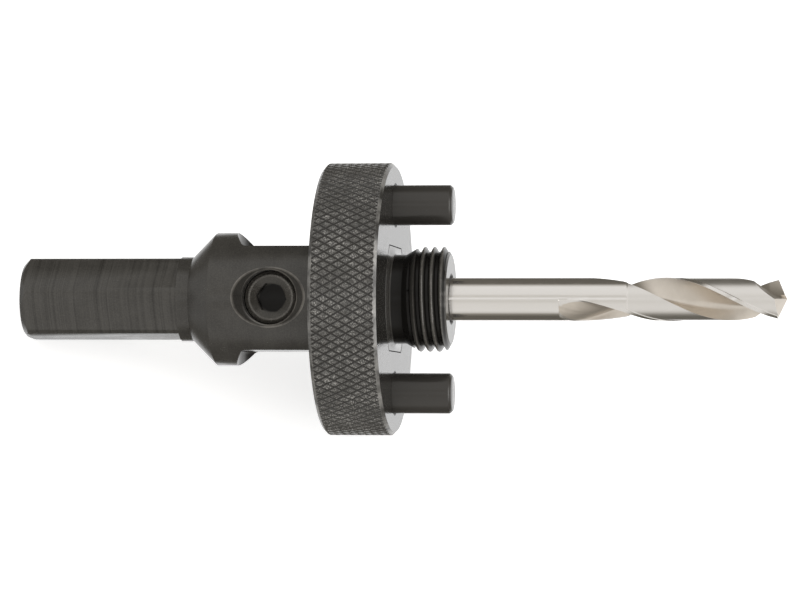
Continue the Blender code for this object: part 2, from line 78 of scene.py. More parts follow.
@dataclass
class RestFrame:
    """The arbor's own frame as it lies on the floor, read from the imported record.

    Attributes:
        collar_mount_z: Distance of the collar face's mount from the axis, towards the set screw.
        matrix: Turns and moves the arbor's own coordinates into the frame's coordinates.
    """

    collar_mount_z: float = 0.01505
    matrix: Matrix = field(init=False)

    def __post_init__(self) -> None:
        """Read the two joint axes and the collar face."""
        axes = {joint["name"]: Vector(joint["axis"]).normalized() for joint in frame["joints"]}
        along = axes["collar_slide"]
        out = axes["screw_travel"]
        across = out.cross(along)
        mounts = {mount["name"]: Vector(mount["pos_m"]) for mount in frame["record"]["mounts"]}
        origin = mounts["collar_face"] - out * self.collar_mount_z
        self.matrix = Matrix.Translation(origin) @ Matrix((along, across, out)).transposed().to_4x4()

    def direction(self, x: float, y: float, z: float) -> Vector:
        """Turn a direction of the arbor into the frame."""
        return self.matrix.to_3x3() @ Vector((x, y, z))

    def about(self, place: Matrix) -> "RestFrame":
        """Give the frame of a piece whose finish is turned about its own axis.

        Args:
            place: Where its own axis lies in the arbor's frame.

        Returns:
            The frame for its finish.
        """
        own = RestFrame()
        own.matrix = self.matrix @ place
        return own


def turned(profile: list[Point], steps: int) -> bmesh.types.BMesh:
    """Spin a profile round the X axis.

    Args:
        profile: Points as (x, radius), from one end of the solid to the other.
        steps: Facets in a full turn.

    Returns:
        The closed shape.
    """
    shape = bmesh.new()
    verts = [shape.verts.new((x, 0.0, radius)) for x, radius in profile]
    edges = [shape.edges.new(pair) for pair in zip(verts, verts[1:])]
    bmesh.ops.spin(shape, geom=verts + edges, cent=(0, 0, 0), axis=(1, 0, 0), angle=math.tau,
                   steps=steps, use_merge=True)
    return shape


def coiled(section: list[Point], start_angle: float, pitch: float, turns: float,
           steps_per_turn: int) -> bmesh.types.BMesh:
    """Spin a closed section round the X axis along a right-hand helix.

    Args:
        section: Corners as (x, radius).
        start_angle: Angle of the first section, from +Y towards +Z.
        pitch: Travel along X in one turn.
        turns: Number of turns.
        steps_per_turn: Sections in a full turn.

    Returns:
        The closed shape.
    """
    shape = bmesh.new()
    across = Vector((0.0, math.cos(start_angle), math.sin(start_angle)))
    corners = [shape.verts.new(Vector((x, 0.0, 0.0)) + across * radius) for x, radius in section]
    face = shape.faces.new(corners)
    steps = round(turns * steps_per_turn)
    bmesh.ops.spin(shape, geom=[face], cent=(0, 0, 0), axis=(1, 0, 0),
                   dvec=(pitch / steps_per_turn, 0, 0), angle=math.tau * steps / steps_per_turn,
                   steps=steps)
    return shape


def prism(outline: list[Vector], reach: Vector) -> bmesh.types.BMesh:
    """Extrude a flat outline.

    Args:
        outline: Corners of the outline.
        reach: Direction and length of the extrusion.

    Returns:
        The closed shape.
    """
    shape = bmesh.new()
    face = shape.faces.new([shape.verts.new(corner) for corner in outline])
    grown = bmesh.ops.extrude_face_region(shape, geom=[face])
    moved = [item for item in grown["geom"] if isinstance(item, bmesh.types.BMVert)]
    bmesh.ops.translate(shape, verts=moved, vec=reach)
    return shape


def solid(name: str, shape: bmesh.types.BMesh, place: Matrix = Matrix()) -> bpy.types.Object:
    """Close a shape, face it outwards and store it as an object.

    Args:
        name: Name of the object.
        shape: The shape, which is freed.
        place: Where its own axis lies in the arbor's frame.

    Returns:
        The new object, at the origin.
    """
    weld = 1e-7
    bmesh.ops.remove_doubles(shape, verts=shape.verts, dist=weld)
    bmesh.ops.recalc_face_normals(shape, faces=shape.faces)
    if shape.calc_volume(signed=True) < 0:
        bmesh.ops.reverse_faces(shape, faces=shape.faces)
    bmesh.ops.transform(shape, matrix=place, verts=shape.verts)
    mesh = bpy.data.meshes.new(name)
    shape.to_mesh(mesh)
    shape.free()
    piece = bpy.data.objects.new(name, mesh)
    bpy.context.scene.collection.objects.link(piece)
    return piece


def worked(piece: bpy.types.Object, steps: list[tuple[Cut, bpy.types.Object]]) -> bpy.types.Object:
    """Cut, join or trim a piece with tools, which are used up.

    Args:
        piece: The piece to change.
        steps: The tools in order, each with what it does.

    Returns:
        The same piece, with its new mesh.
    """
    for cut, tool in steps:
        change = piece.modifiers.new(tool.name, "BOOLEAN")
        change.operation = cut.value
        change.solver = "EXACT"
        change.object = tool
    graph = bpy.context.evaluated_depsgraph_get()
    mesh = bpy.data.meshes.new_from_object(piece.evaluated_get(graph))
    piece.modifiers.clear()
    old = piece.data
    piece.data = mesh
    bpy.data.meshes.remove(old)
    for _, tool in steps:
        bpy.data.objects.remove(tool, do_unlink=True)
    return piece


def hexagon(x: float, flats: float, first: float) -> list[Vector]:
    """Corners of a hexagon square to the X axis.

    Args:
        x: Place along the axis.
        flats: Width across its flats.
        first: Angle of its first corner, from +Z towards +Y.

    Returns:
        The six corners.
    """
    corner_r = flats / 2 / math.cos(math.pi / 6)
    angles = [first + number * math.pi / 3 for number in range(6)]
    return [Vector((x, corner_r * math.sin(angle), corner_r * math.cos(angle))) for angle in angles]


def radial_place(x: float, z: float, sign: float = 1.0) -> Matrix:
    """Put a shape made along +X at a point of the XZ plane, pointing towards +Z or -Z."""
    return Matrix.Translation((x, 0.0, z)) @ Matrix.Rotation(-sign * math.pi / 2, 4, "Y")


class Graph:
    """Adds nodes to one node tree and feeds their inputs."""

    def __init__(self, tree: bpy.types.NodeTree) -> None:
        """Keep the tree that the nodes go into."""
        self.tree = tree

    def add(self, kind: str, inputs: dict | None = None, **settings: object) -> bpy.types.Node:
        """Add a node.

        Args:
            kind: Blender's name of the node's type, without its first word.
            inputs: Values or sockets for its inputs, by name or place.
            **settings: Properties of the node.

        Returns:
            The new node.
        """
        node = self.tree.nodes.new("ShaderNode" + kind)
        for name, value in settings.items():
            setattr(node, name, value)
        for key, value in (inputs or {}).items():
            self.feed(node.inputs[key], value)
        return node

    def feed(self, socket: bpy.types.NodeSocket, value: object) -> None:
        """Link a socket into an input, or set the input's own value.

        Args:
            socket: The input.
            value: A socket, or a plain value.
        """
        if isinstance(value, bpy.types.NodeSocket):
            self.tree.links.new(value, socket)
        else:
            socket.default_value = value

    def math(self, operation: str, *values: object, clamp: bool = False) -> bpy.types.NodeSocket:
        """Join values by one arithmetic step and give its result."""
        node = self.add("Math", dict(enumerate(values)), operation=operation, use_clamp=clamp)
        return node.outputs[0]

    def step(self, value: object, low: float, high: float) -> bpy.types.NodeSocket:
        """Rise smoothly from 0 to 1 as a value goes from low to high.

        Args:
            value: The value.
            low: Where the rise starts.
            high: Where it ends.

        Returns:
            The risen value, between 0 and 1.
        """
        node = self.add("MapRange", {"Value": value, "From Min": low, "From Max": high},
                        interpolation_type="SMOOTHSTEP")
        return node.outputs["Result"]

    def blend(self, share: object, first: object, second: object) -> bpy.types.NodeSocket:
        """Mix two colours.

        Args:
            share: Share of the second colour.
            first: A colour or its socket.
            second: A colour or its socket.

        Returns:
            The mixed colour.
        """
        node = self.add("Mix", {0: share}, data_type="RGBA")
        for socket, value in ((node.inputs[6], first), (node.inputs[7], second)):
            self.feed(socket, (*value, 1.0) if isinstance(value, tuple) and len(value) == 3 else value)
        return node.outputs[2]


def new_group(name: str, inputs: list[tuple[str, str]], outputs: list[tuple[str, str]]
              ) -> tuple[Graph, bpy.types.Node, bpy.types.Node]:
    """Start a shader node group.

    Args:
        name: Its name.
        inputs: Name and kind of each input.
        outputs: Name and kind of each output.

    Returns:
        Its graph, its input node and its output node.
    """
    tree = bpy.data.node_groups.new(name, "ShaderNodeTree")
    for direction, sockets in (("INPUT", inputs), ("OUTPUT", outputs)):
        for label, kind in sockets:
            tree.interface.new_socket(label, in_out=direction, socket_type="NodeSocket" + kind)
    start = tree.nodes.new("NodeGroupInput")
    end = tree.nodes.new("NodeGroupOutput")
    return Graph(tree), start, end


class SharedPatterns:
    """The node groups that more than one finish uses, each built once."""

    def __init__(self) -> None:
        """Build every group."""
        self.round_axis = self._round_axis()
        self.cut_marks = self._cut_marks()
        self.patina = self._patina()

    def _round_axis(self) -> bpy.types.NodeTree:
        """Distance along the arbor's axis, distance from it, and angle round it.

        Returns:
            The group's node tree.
        """
        graph, start, end = new_group("round_axis", [("Vector", "Vector")],
                                      [("Along", "Float"), ("Radius", "Float"), ("Angle", "Float")])
        parts = graph.add("SeparateXYZ", {0: start.outputs["Vector"]}).outputs
        flat = graph.add("CombineXYZ", {1: parts[1], 2: parts[2]}).outputs[0]
        length = graph.add("VectorMath", {0: flat}, operation="LENGTH").outputs["Value"]
        graph.feed(end.inputs["Along"], parts[0])
        graph.feed(end.inputs["Radius"], length)
        graph.feed(end.inputs["Angle"], graph.math("ARCTAN2", parts[2], parts[1]))
        return graph.tree

    def _cut_marks(self) -> bpy.types.NodeTree:
        """Fine tool marks that repeat along one value, with an uneven depth.

        Returns:
            The group's node tree.
        """
        graph, start, end = new_group(
            "cut_marks", [("Value", "Float"), ("Marks per Metre", "Float"), ("Wander", "Float")],
            [("Height", "Float")])
        moved = graph.math("ADD", start.outputs["Value"], start.outputs["Wander"])
        place = graph.math("MULTIPLY", moved, start.outputs["Marks per Metre"])
        fine_scale = 4.1
        fine_share = 0.45
        coarse = graph.add("TexNoise", {"W": place, "Scale": 1.0, "Detail": 2.0, "Roughness": 0.6},
                           noise_dimensions="1D")
        fine = graph.add("TexNoise", {"W": graph.math("MULTIPLY", place, fine_scale), "Scale": 1.0,
                                      "Detail": 1.0}, noise_dimensions="1D")
        both = graph.math("MULTIPLY_ADD", fine.outputs[0], fine_share, coarse.outputs[0])
        graph.feed(end.inputs["Height"], graph.math("MULTIPLY", both, 0.7))
        return graph.tree

    def _patina(self) -> bpy.types.NodeTree:
        """Soft clouds and fine specks, each between 0 and 1.

        Returns:
            The group's node tree.
        """
        graph, start, end = new_group(
            "patina", [("Vector", "Vector"), ("Cloud Scale", "Float"), ("Speck Scale", "Float")],
            [("Clouds", "Float"), ("Specks", "Float")])
        clouds = graph.add("TexNoise", {"Vector": start.outputs["Vector"],
                                        "Scale": start.outputs["Cloud Scale"], "Detail": 4.0,
                                        "Roughness": 0.62})
        specks = graph.add("TexNoise", {"Vector": start.outputs["Vector"],
                                        "Scale": start.outputs["Speck Scale"], "Detail": 2.0,
                                        "Roughness": 0.7})
        graph.feed(end.inputs["Clouds"], graph.step(clouds.outputs[0], 0.3, 0.7))
        graph.feed(end.inputs["Specks"], graph.step(specks.outputs[0], 0.35, 0.7))
        return graph.tree


@dataclass(frozen=True)
class CountersunkHole:
    """A hole across the arbor whose countersink edges are lightened, partly as bare metal and partly as
    painted highlight.

    Attributes:
        x: Place along the axis.
        hole_r: Radius of the hole.
        mouth_r: Radius of the countersink at the skin.
        skin_r: Radius of the skin that it opens in.
        edge: Width of the lightened edge.
    """

    x: float
    hole_r: float
    mouth_r: float
    skin_r: float
    edge: float = 0.00022


class Finish:
    """Common start of every finish: one Principled material on the arbor's own coordinates.

    Attributes:
        squareness: Share of the normal along the axis from which a face counts as square to it.
    """

    squareness: Point = (0.96, 0.99)

    def __init__(self, name: str, rest: RestFrame, patterns: SharedPatterns) -> None:
        """Start the material.

        Args:
            name: Its name.
            rest: Where the arbor lies.
            patterns: The shared node groups.
        """
        self.patterns = patterns
        self.material = bpy.data.materials.new(name)
        self.material.use_nodes = True
        self.graph = Graph(self.material.node_tree)
        self.shader = self.material.node_tree.nodes["Principled BSDF"]
        inverse = rest.matrix.inverted()
        place = self.graph.add("Mapping", {"Vector": self.graph.add("TexCoord").outputs["Object"],
                                           "Location": inverse.to_translation(),
                                           "Rotation": inverse.to_euler()}, vector_type="POINT")
        self.where = place.outputs[0]
        normal = self.graph.add("VectorMath", {0: self.graph.add("TexCoord").outputs["Normal"],
                                               1: rest.direction(1.0, 0.0, 0.0)}, operation="DOT_PRODUCT")
        self.square = self.graph.step(self.graph.math("ABSOLUTE", normal.outputs["Value"]), *self.squareness)
        axis = self.group(patterns.round_axis, {"Vector": self.where})
        self.along = axis["Along"]
        self.radius = axis["Radius"]
        self.angle = axis["Angle"]

    def between(self, value: object, span: Point) -> bpy.types.NodeSocket:
        """Give 1 where a value lies inside a span, and 0 outside it.

        Args:
            value: The value.
            span: The lowest and the highest value inside.

        Returns:
            The mask.
        """
        past = self.graph.step(value, span[1] - STEP_WIDTH, span[1])
        return self.graph.math("MULTIPLY", self.graph.step(value, span[0], span[0] + STEP_WIDTH),
                               self.graph.math("SUBTRACT", 1.0, past))

    def hole_edges(self, hole: CountersunkHole) -> bpy.types.NodeSocket:
        """Mark the two edges of a countersink: its rim on the round skin, and the hole's own mouth.

        Args:
            hole: The hole, whose axis crosses the arbor's.

        Returns:
            1 on the edges and 0 away from them.
        """
        graph = self.graph
        parts = graph.add("SeparateXYZ", {0: self.where}).outputs
        moved = graph.math("SUBTRACT", parts[0], hole.x)
        flat = graph.add("CombineXYZ", {0: moved, 1: parts[1]}).outputs[0]
        away = graph.add("VectorMath", {0: flat}, operation="LENGTH").outputs["Value"]
        beside = graph.math("SUBTRACT", away, parts[2])
        beside = graph.math("SUBTRACT", beside, hole.mouth_r - hole.skin_r)
        rim = graph.math("MULTIPLY", self.between(beside, (-0.0001, hole.edge)),
                         graph.step(self.radius, hole.skin_r - hole.edge, hole.skin_r - hole.edge * 0.6))
        low = hole.skin_r - hole.mouth_r + hole.hole_r
        inner = graph.math("MULTIPLY", self.between(away, (0.0, hole.hole_r + hole.edge * 0.8)),
                           self.between(parts[2], (low - hole.edge * 0.4, low + hole.edge)))
        return graph.math("MAXIMUM", rim, inner)

    def group(self, tree: bpy.types.NodeTree, inputs: dict) -> bpy.types.NodeOutputs:
        """Place a shared group and give its outputs.

        Args:
            tree: The group's node tree.
            inputs: Values or sockets for its inputs, by name.

        Returns:
            Its output sockets.
        """
        node = self.graph.add("Group", node_tree=tree)
        for key, value in inputs.items():
            self.graph.feed(node.inputs[key], value)
        return node.outputs

    def clouds_and_specks(self, cloud_scale: float, speck_scale: float
                          ) -> tuple[bpy.types.NodeSocket, bpy.types.NodeSocket]:
        """Place the patina group and give its two masks.

        Args:
            cloud_scale: How many soft clouds lie in a metre.
            speck_scale: How many specks lie in a metre.

        Returns:
            The two masks.
        """
        outputs = self.group(self.patterns.patina, {"Vector": self.where, "Cloud Scale": cloud_scale,
                                                    "Speck Scale": speck_scale})
        return outputs["Clouds"], outputs["Specks"]

    def marks(self, value: object, per_metre: float, wander: object = 0.0) -> bpy.types.NodeSocket:
        """Place the tool mark group and give its height.

        Args:
            value: Value along which the marks repeat.
            per_metre: How close they lie.
            wander: What is added to the value, so that they wander.

        Returns:
            Their height.
        """
        outputs = self.group(self.patterns.cut_marks, {"Value": value, "Marks per Metre": per_metre,
                                                       "Wander": wander})
        return outputs["Height"]

    def surface(self, colour: object, roughness: object, height: object, depth: float,
                metallic: float = 1.0, specular: object = 0.5) -> bpy.types.Material:
        """Feed the shader.

        Args:
            colour: Base colour.
            roughness: Roughness.
            height: Height of the tool marks, between 0 and 1.
            depth: What a height of 1 stands for, in metres.
            metallic: Metallic value.
            specular: Level of the reflection straight on, for what isn't bare metal.

        Returns:
            The finished material.
        """
        bump = self.graph.add("Bump", {"Strength": 1.0, "Distance": depth, "Height": height})
        self.graph.feed(self.shader.inputs["Base Color"], colour)
        self.graph.feed(self.shader.inputs["Roughness"], roughness)
        self.graph.feed(self.shader.inputs["Normal"], bump.outputs[0])
        self.graph.feed(self.shader.inputs["Specular IOR Level"], specular)
        self.shader.inputs["Metallic"].default_value = metallic
        return self.material


@dataclass(frozen=True)
class BlackOxide:
    """Blackened steel: dark, warm, with tool marks, crests and edges lightened partly as bare metal and
    partly as painted highlight, and painted shade in its hollows.

    Attributes:
        name: Name of the material.
        dark: Darker oxide colour that the clouds and streaks blend from; scaled by shaded, it is also the
            painted shade in the hollows.
        light: Colour on the open faces.
        worn_and_highlight: Colour of bare metal where the oxide is thin, which also serves as the painted
            highlight and glint on crests, peaks and edges.
        roughness: Middle roughness.
        marks_per_metre: How close the turning marks lie.
        mark_depth: Depth of the marks in metres.
        metallic: Share of bare metal under the oxide.
        specular: Level of the oxide's own reflection straight on.
        faced: Roughness of the faces that are turned square to the axis.
        specks: Share of the bare metal that shows as fine specks, which on the knurl are partly painted
            glints.
        streaks: Share by which the colour changes in streaks round or along the piece.
        wear_and_highlight: Share of bare metal and painted highlight on the crests between the specks.
        sparkle: Share of bare metal and painted glint that the specks add on the crests.
        wear_and_highlight_from: Radius where the lightened crests begin, and where they are full.
        wear_and_shade_span: Places along the axis between which the lightened crests and the painted shade in
            the hollows show.
        shaded: Share of the dark colour, and of its reflection straight on, that the hollows keep in the
            span, as painted shade.
        shaded_from: Distances from the axis between which the painted shade of the hollows fades out.
        milled_to: Place along the axis up to which the marks are those of a mill.
        edges: Places along the axis between which an outer edge is lightened, partly as bare metal and partly
            as painted highlight.
        edge_from: Radius where those edges begin.
        edge_wear_and_highlight: Share of bare metal and painted highlight on those edges.
        hole: A hole with rubbed edges, if there is one.
        cloud_scale: How many soft clouds lie in a metre.
        speck_scale: How many specks lie in a metre.
        mill_spacing: Spacing of the mill's marks, against the turning marks.
        band_spacing: Spacing of the mill's bands, against the turning marks.
        mill_bow: How far the mill's marks bow along the axis, in metres.
        band_change: Gain and shift of the mill's bands.
        cloudiness: Share by which the clouds lighten the colour.
        openness: Share of the light colour where nothing changes it.
        cloud_roughness: What the clouds add to the roughness.
        speck_roughness: What the specks add to it.
        speck_sharpness: Power that narrows the specks of bare metal and painted glint.
        speck_clouds: Gain and shift of the clouds in which those specks gather.
    """

    name: str
    dark: Colour = (0.034, 0.032, 0.029)
    light: Colour = (0.074, 0.070, 0.064)
    worn_and_highlight: Colour = (0.30, 0.28, 0.25)
    roughness: float = 0.20
    marks_per_metre: float = 5200.0
    mark_depth: float = 0.0000025
    metallic: float = 0.15
    specular: float = 0.40
    faced: float = 0.12
    specks: float = 0.08
    streaks: float = 0.50
    wear_and_highlight: float = 0.15
    sparkle: float = 0.45
    wear_and_highlight_from: Point = (1.0, 2.0)
    wear_and_shade_span: Point = (-1.0, 1.0)
    shaded: float = 1.0
    shaded_from: Point = (1.0, 2.0)
    milled_to: float = -1.0
    edges: tuple[Point, ...] = ()
    edge_from: float = 1.0
    edge_wear_and_highlight: float = 0.6
    hole: CountersunkHole | None = None
    cloud_scale: float = 260.0
    speck_scale: float = 5200.0
    mill_spacing: float = 0.55
    band_spacing: float = 0.2
    mill_bow: float = 0.0004
    band_change: Point = (2.6, -1.2)
    cloudiness: float = 0.40
    openness: float = 0.45
    cloud_roughness: float = 0.08
    speck_roughness: float = 0.04
    speck_sharpness: float = 3.0
    speck_clouds: Point = (1.2, 0.25)

    def build(self, rest: RestFrame, patterns: SharedPatterns) -> bpy.types.Material:
        """Make the material.

        Args:
            rest: Where the arbor lies.
            patterns: The shared node groups.

        Returns:
            The finished material.
        """
        finish = Finish(self.name, rest, patterns)
        graph = finish.graph
        clouds, specks = finish.clouds_and_specks(self.cloud_scale, self.speck_scale)
        turned_skin = graph.step(finish.along, self.milled_to - STEP_WIDTH, self.milled_to)
        milled = graph.math("SUBTRACT", 1.0, turned_skin)
        path = graph.math("ADD", finish.along, finish.radius)
        turning = finish.marks(path, self.marks_per_metre)
        bow = graph.math("POWER", graph.math("SINE", finish.angle), 2.0)
        bow = graph.math("MULTIPLY", bow, self.mill_bow)
        milling = finish.marks(finish.along, self.marks_per_metre * self.mill_spacing, bow)
        height = graph.add("Mix", {0: milled, 2: turning, 3: milling}).outputs[0]
        bands = finish.marks(finish.along, self.marks_per_metre * self.band_spacing, bow)
        bands = graph.math("MULTIPLY", graph.math("MULTIPLY_ADD", bands, *self.band_change), milled)
        share = graph.math("MULTIPLY_ADD", clouds, self.cloudiness, self.openness - self.streaks / 2)
        share = graph.math("MULTIPLY_ADD", height, self.streaks, share)
        share = graph.math("ADD", share, bands, clamp=True)
        colour = graph.blend(share, self.dark, self.light)
        # Fine specks of bare metal, which on the knurl are partly painted glints.
        colour = graph.blend(graph.math("MULTIPLY", specks, self.specks), colour, self.worn_and_highlight)
        inside = finish.between(finish.along, self.wear_and_shade_span)
        outer = graph.step(finish.radius, *self.wear_and_highlight_from)
        # Painted shade: below a radius inside the span the colour turns darker, where shade would fall in
        # thread roots, the key socket and the knurl's grooves.
        hollow_shade = graph.math("SUBTRACT", 1.0, graph.step(finish.radius, *self.shaded_from))
        hollow_shade = graph.math("MULTIPLY", hollow_shade, inside)
        colour = graph.blend(hollow_shade, colour, tuple(self.shaded * part for part in self.dark))
        # Crests and peaks past a radius are lightened, partly as bare metal and partly as painted highlight
        # and glint, in specks gathered in clouds.
        sparks = graph.math("MULTIPLY", graph.math("POWER", specks, self.speck_sharpness),
                            graph.math("MULTIPLY_ADD", clouds, *self.speck_clouds))
        wear_and_highlight = graph.math("MULTIPLY", graph.math("MULTIPLY", outer, inside),
                          graph.math("MULTIPLY_ADD", sparks, self.sparkle, self.wear_and_highlight), clamp=True)
        # Chosen outer edges and the countersink's rims are lightened the same way, partly bare metal and
        # partly painted highlight.
        edge_wear_and_highlight = [graph.math("MULTIPLY", finish.between(finish.along, span),
                             graph.step(finish.radius, self.edge_from, self.edge_from + STEP_WIDTH))
                  for span in self.edges]
        if self.hole:
            edge_wear_and_highlight.append(finish.hole_edges(self.hole))
        patchy = graph.math("MULTIPLY", clouds, self.edge_wear_and_highlight)
        for edge in edge_wear_and_highlight:
            wear_and_highlight = graph.math("MAXIMUM", wear_and_highlight, graph.math("MULTIPLY", edge, patchy))
        colour = graph.blend(wear_and_highlight, colour, self.worn_and_highlight)
        rough = graph.math("MULTIPLY_ADD", clouds, self.cloud_roughness,
                           self.roughness - self.cloud_roughness / 2)
        rough = graph.math("MULTIPLY_ADD", specks, self.speck_roughness, rough)
        rough = graph.add("Mix", {0: finish.square, 2: rough, 3: self.faced}).outputs[0]
        # The painted shade also scales the reflection straight on in the hollows.
        level = self.specular
        if self.shaded != 1.0:
            level = graph.math("MULTIPLY_ADD", hollow_shade, (self.shaded - 1.0) * level, level)
        return finish.surface(colour, rough, height, self.mark_depth, self.metallic, level)


@dataclass(frozen=True)
class GroundSteel:
    """Bright ground steel of the pilot drill, warmer and streaked in its flutes.

    Attributes:
        name: Name of the material.
        shank: Colour of the ground outside.
        flute: Colour inside the flutes.
        radius: Radius of the ground outside.
        lead: Travel of the flutes in one turn.
        run_out_x: Place along the axis where the flutes reach their full depth.
        run_out: Length over which their rougher start fades.
        skin: Depth past which a surface belongs to a flute.
        relief: Depths between which the land is relieved behind its margin.
        outside_roughness: Roughness of the margins and the shank.
        relief_roughness: What the relieved land adds to that.
        flute_roughness: Roughness in the flutes.
        run_out_roughness: Roughness where they begin.
        marks_per_metre: How close the grinding marks lie.
        mark_depth: Depth of the marks in metres.
        cloud_scale: How many soft clouds lie in a metre.
        speck_scale: How many specks lie in a metre.
        stain: Share of its colour that the flute keeps in a cloud.
        stained_share: How strong those clouds are.
        dullness: Share of its colour that the shank keeps in a speck.
        dulled_share: How strong those specks are.
        cloud_roughness: What the clouds add to the roughness.
    """

    name: str
    shank: Colour = (0.80, 0.775, 0.745)
    flute: Colour = (0.74, 0.68, 0.605)
    radius: float = 0.0032
    lead: float = 0.039
    run_out_x: float = 0.0342
    run_out: float = 0.0040
    skin: float = 0.00016
    relief: Point = (0.00005, 0.00007)
    outside_roughness: float = 0.15
    relief_roughness: float = 0.16
    flute_roughness: float = 0.34
    run_out_roughness: float = 0.56
    marks_per_metre: float = 9000.0
    mark_depth: float = 0.0000010
    cloud_scale: float = 420.0
    speck_scale: float = 7000.0
    stain: float = 0.8
    stained_share: float = 0.35
    dullness: float = 0.82
    dulled_share: float = 0.12
    cloud_roughness: float = 0.05

    def build(self, rest: RestFrame, patterns: SharedPatterns) -> bpy.types.Material:
        """Make the material.

        Args:
            rest: Where the arbor lies.
            patterns: The shared node groups.

        Returns:
            The finished material.
        """
        finish = Finish(self.name, rest, patterns)
        graph = finish.graph
        clouds, specks = finish.clouds_and_specks(self.cloud_scale, self.speck_scale)
        outside = graph.step(finish.radius, self.radius - self.skin, self.radius - self.skin * 0.75)
        stained = tuple(self.stain * part for part in self.flute)
        flute = graph.blend(graph.math("MULTIPLY", clouds, self.stained_share), self.flute, stained)
        dulled = tuple(self.dullness * part for part in self.shank)
        shank = graph.blend(graph.math("MULTIPLY", specks, self.dulled_share), self.shank, dulled)
        colour = graph.blend(outside, flute, shank)
        rings = finish.marks(finish.along, self.marks_per_metre)
        turns = graph.math("MULTIPLY_ADD", finish.angle, -self.lead / math.tau, finish.along)
        streaks = finish.marks(graph.math("ADD", turns, finish.radius), self.marks_per_metre)
        height = graph.add("Mix", {0: outside, 2: streaks, 3: rings}).outputs[0]
        inner = graph.add("Mix", {0: graph.step(finish.along, self.run_out_x - self.run_out, self.run_out_x),
                                  2: self.run_out_roughness, 3: self.flute_roughness}).outputs[0]
        rough = graph.add("Mix", {0: outside, 2: inner, 3: self.outside_roughness}).outputs[0]
        full = graph.step(finish.radius, self.radius - self.relief[1], self.radius - self.relief[0])
        relieved = graph.math("SUBTRACT", outside, full)
        rough = graph.math("MULTIPLY_ADD", relieved, self.relief_roughness, rough)
        rough = graph.math("MULTIPLY_ADD", clouds, self.cloud_roughness, rough)
        return finish.surface(colour, rough, height, self.mark_depth)


@dataclass(frozen=True)
class SmallSteel:
    """Plain steel of the detent's ball and spring, with drawn or lapped marks.

    Attributes:
        name: Name of the material.
        colour: Its colour.
        roughness: Its middle roughness.
        mark_depth: Depth of the marks in metres.
        marks_per_metre: How close they lie.
        cloud_scale: How many soft clouds lie in a metre.
        speck_scale: How many specks lie in a metre.
        stain: Share of the colour that is kept in a cloud.
        stained_share: How strong the clouds are.
        speck_roughness: What the specks add to the roughness.
    """

    name: str
    colour: Colour
    roughness: float
    mark_depth: float = 0.0000008
    marks_per_metre: float = 9000.0
    cloud_scale: float = 900.0
    speck_scale: float = 6000.0
    stain: float = 0.7
    stained_share: float = 0.4
    speck_roughness: float = 0.08

    def build(self, rest: RestFrame, patterns: SharedPatterns) -> bpy.types.Material:
        """Make the material.

        Args:
            rest: Where the arbor lies.
            patterns: The shared node groups.

        Returns:
            The finished material.
        """
        finish = Finish(self.name, rest, patterns)
        graph = finish.graph
        clouds, specks = finish.clouds_and_specks(self.cloud_scale, self.speck_scale)
        stained = tuple(self.stain * part for part in self.colour)
        colour = graph.blend(graph.math("MULTIPLY", clouds, self.stained_share), self.colour, stained)
        rough = graph.math("MULTIPLY_ADD", specks, self.speck_roughness, self.roughness)
        height = finish.marks(finish.radius, self.marks_per_metre)
        return finish.surface(colour, rough, height, self.mark_depth)


@dataclass
class Assembly:
    """One sub-assembly of the arbor, whose own sizes are the fields of its class.

    Attributes:
        rest: Where the arbor lies.
        patterns: The shared node groups.
    """

    rest: RestFrame
    patterns: SharedPatterns

    def dress(self, piece: bpy.types.Object, body: str, slot: str, material: bpy.types.Material,
              node: str, crease: float = 28.0) -> bpy.types.Object:
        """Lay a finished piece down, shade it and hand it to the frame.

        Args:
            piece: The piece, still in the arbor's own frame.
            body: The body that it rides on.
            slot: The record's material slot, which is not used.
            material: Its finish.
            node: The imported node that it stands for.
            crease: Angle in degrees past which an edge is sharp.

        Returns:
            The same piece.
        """
        mesh = piece.data
        mesh.transform(self.rest.matrix)
        mesh.shade_smooth()
        mesh.set_sharp_from_angle(angle=math.radians(crease))
        mesh.materials.clear()
        mesh.materials.append(material)
        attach(piece, body)
        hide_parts(node)
        log.info("%s: %d faces on %s", piece.name, len(mesh.polygons), body)
        return piece


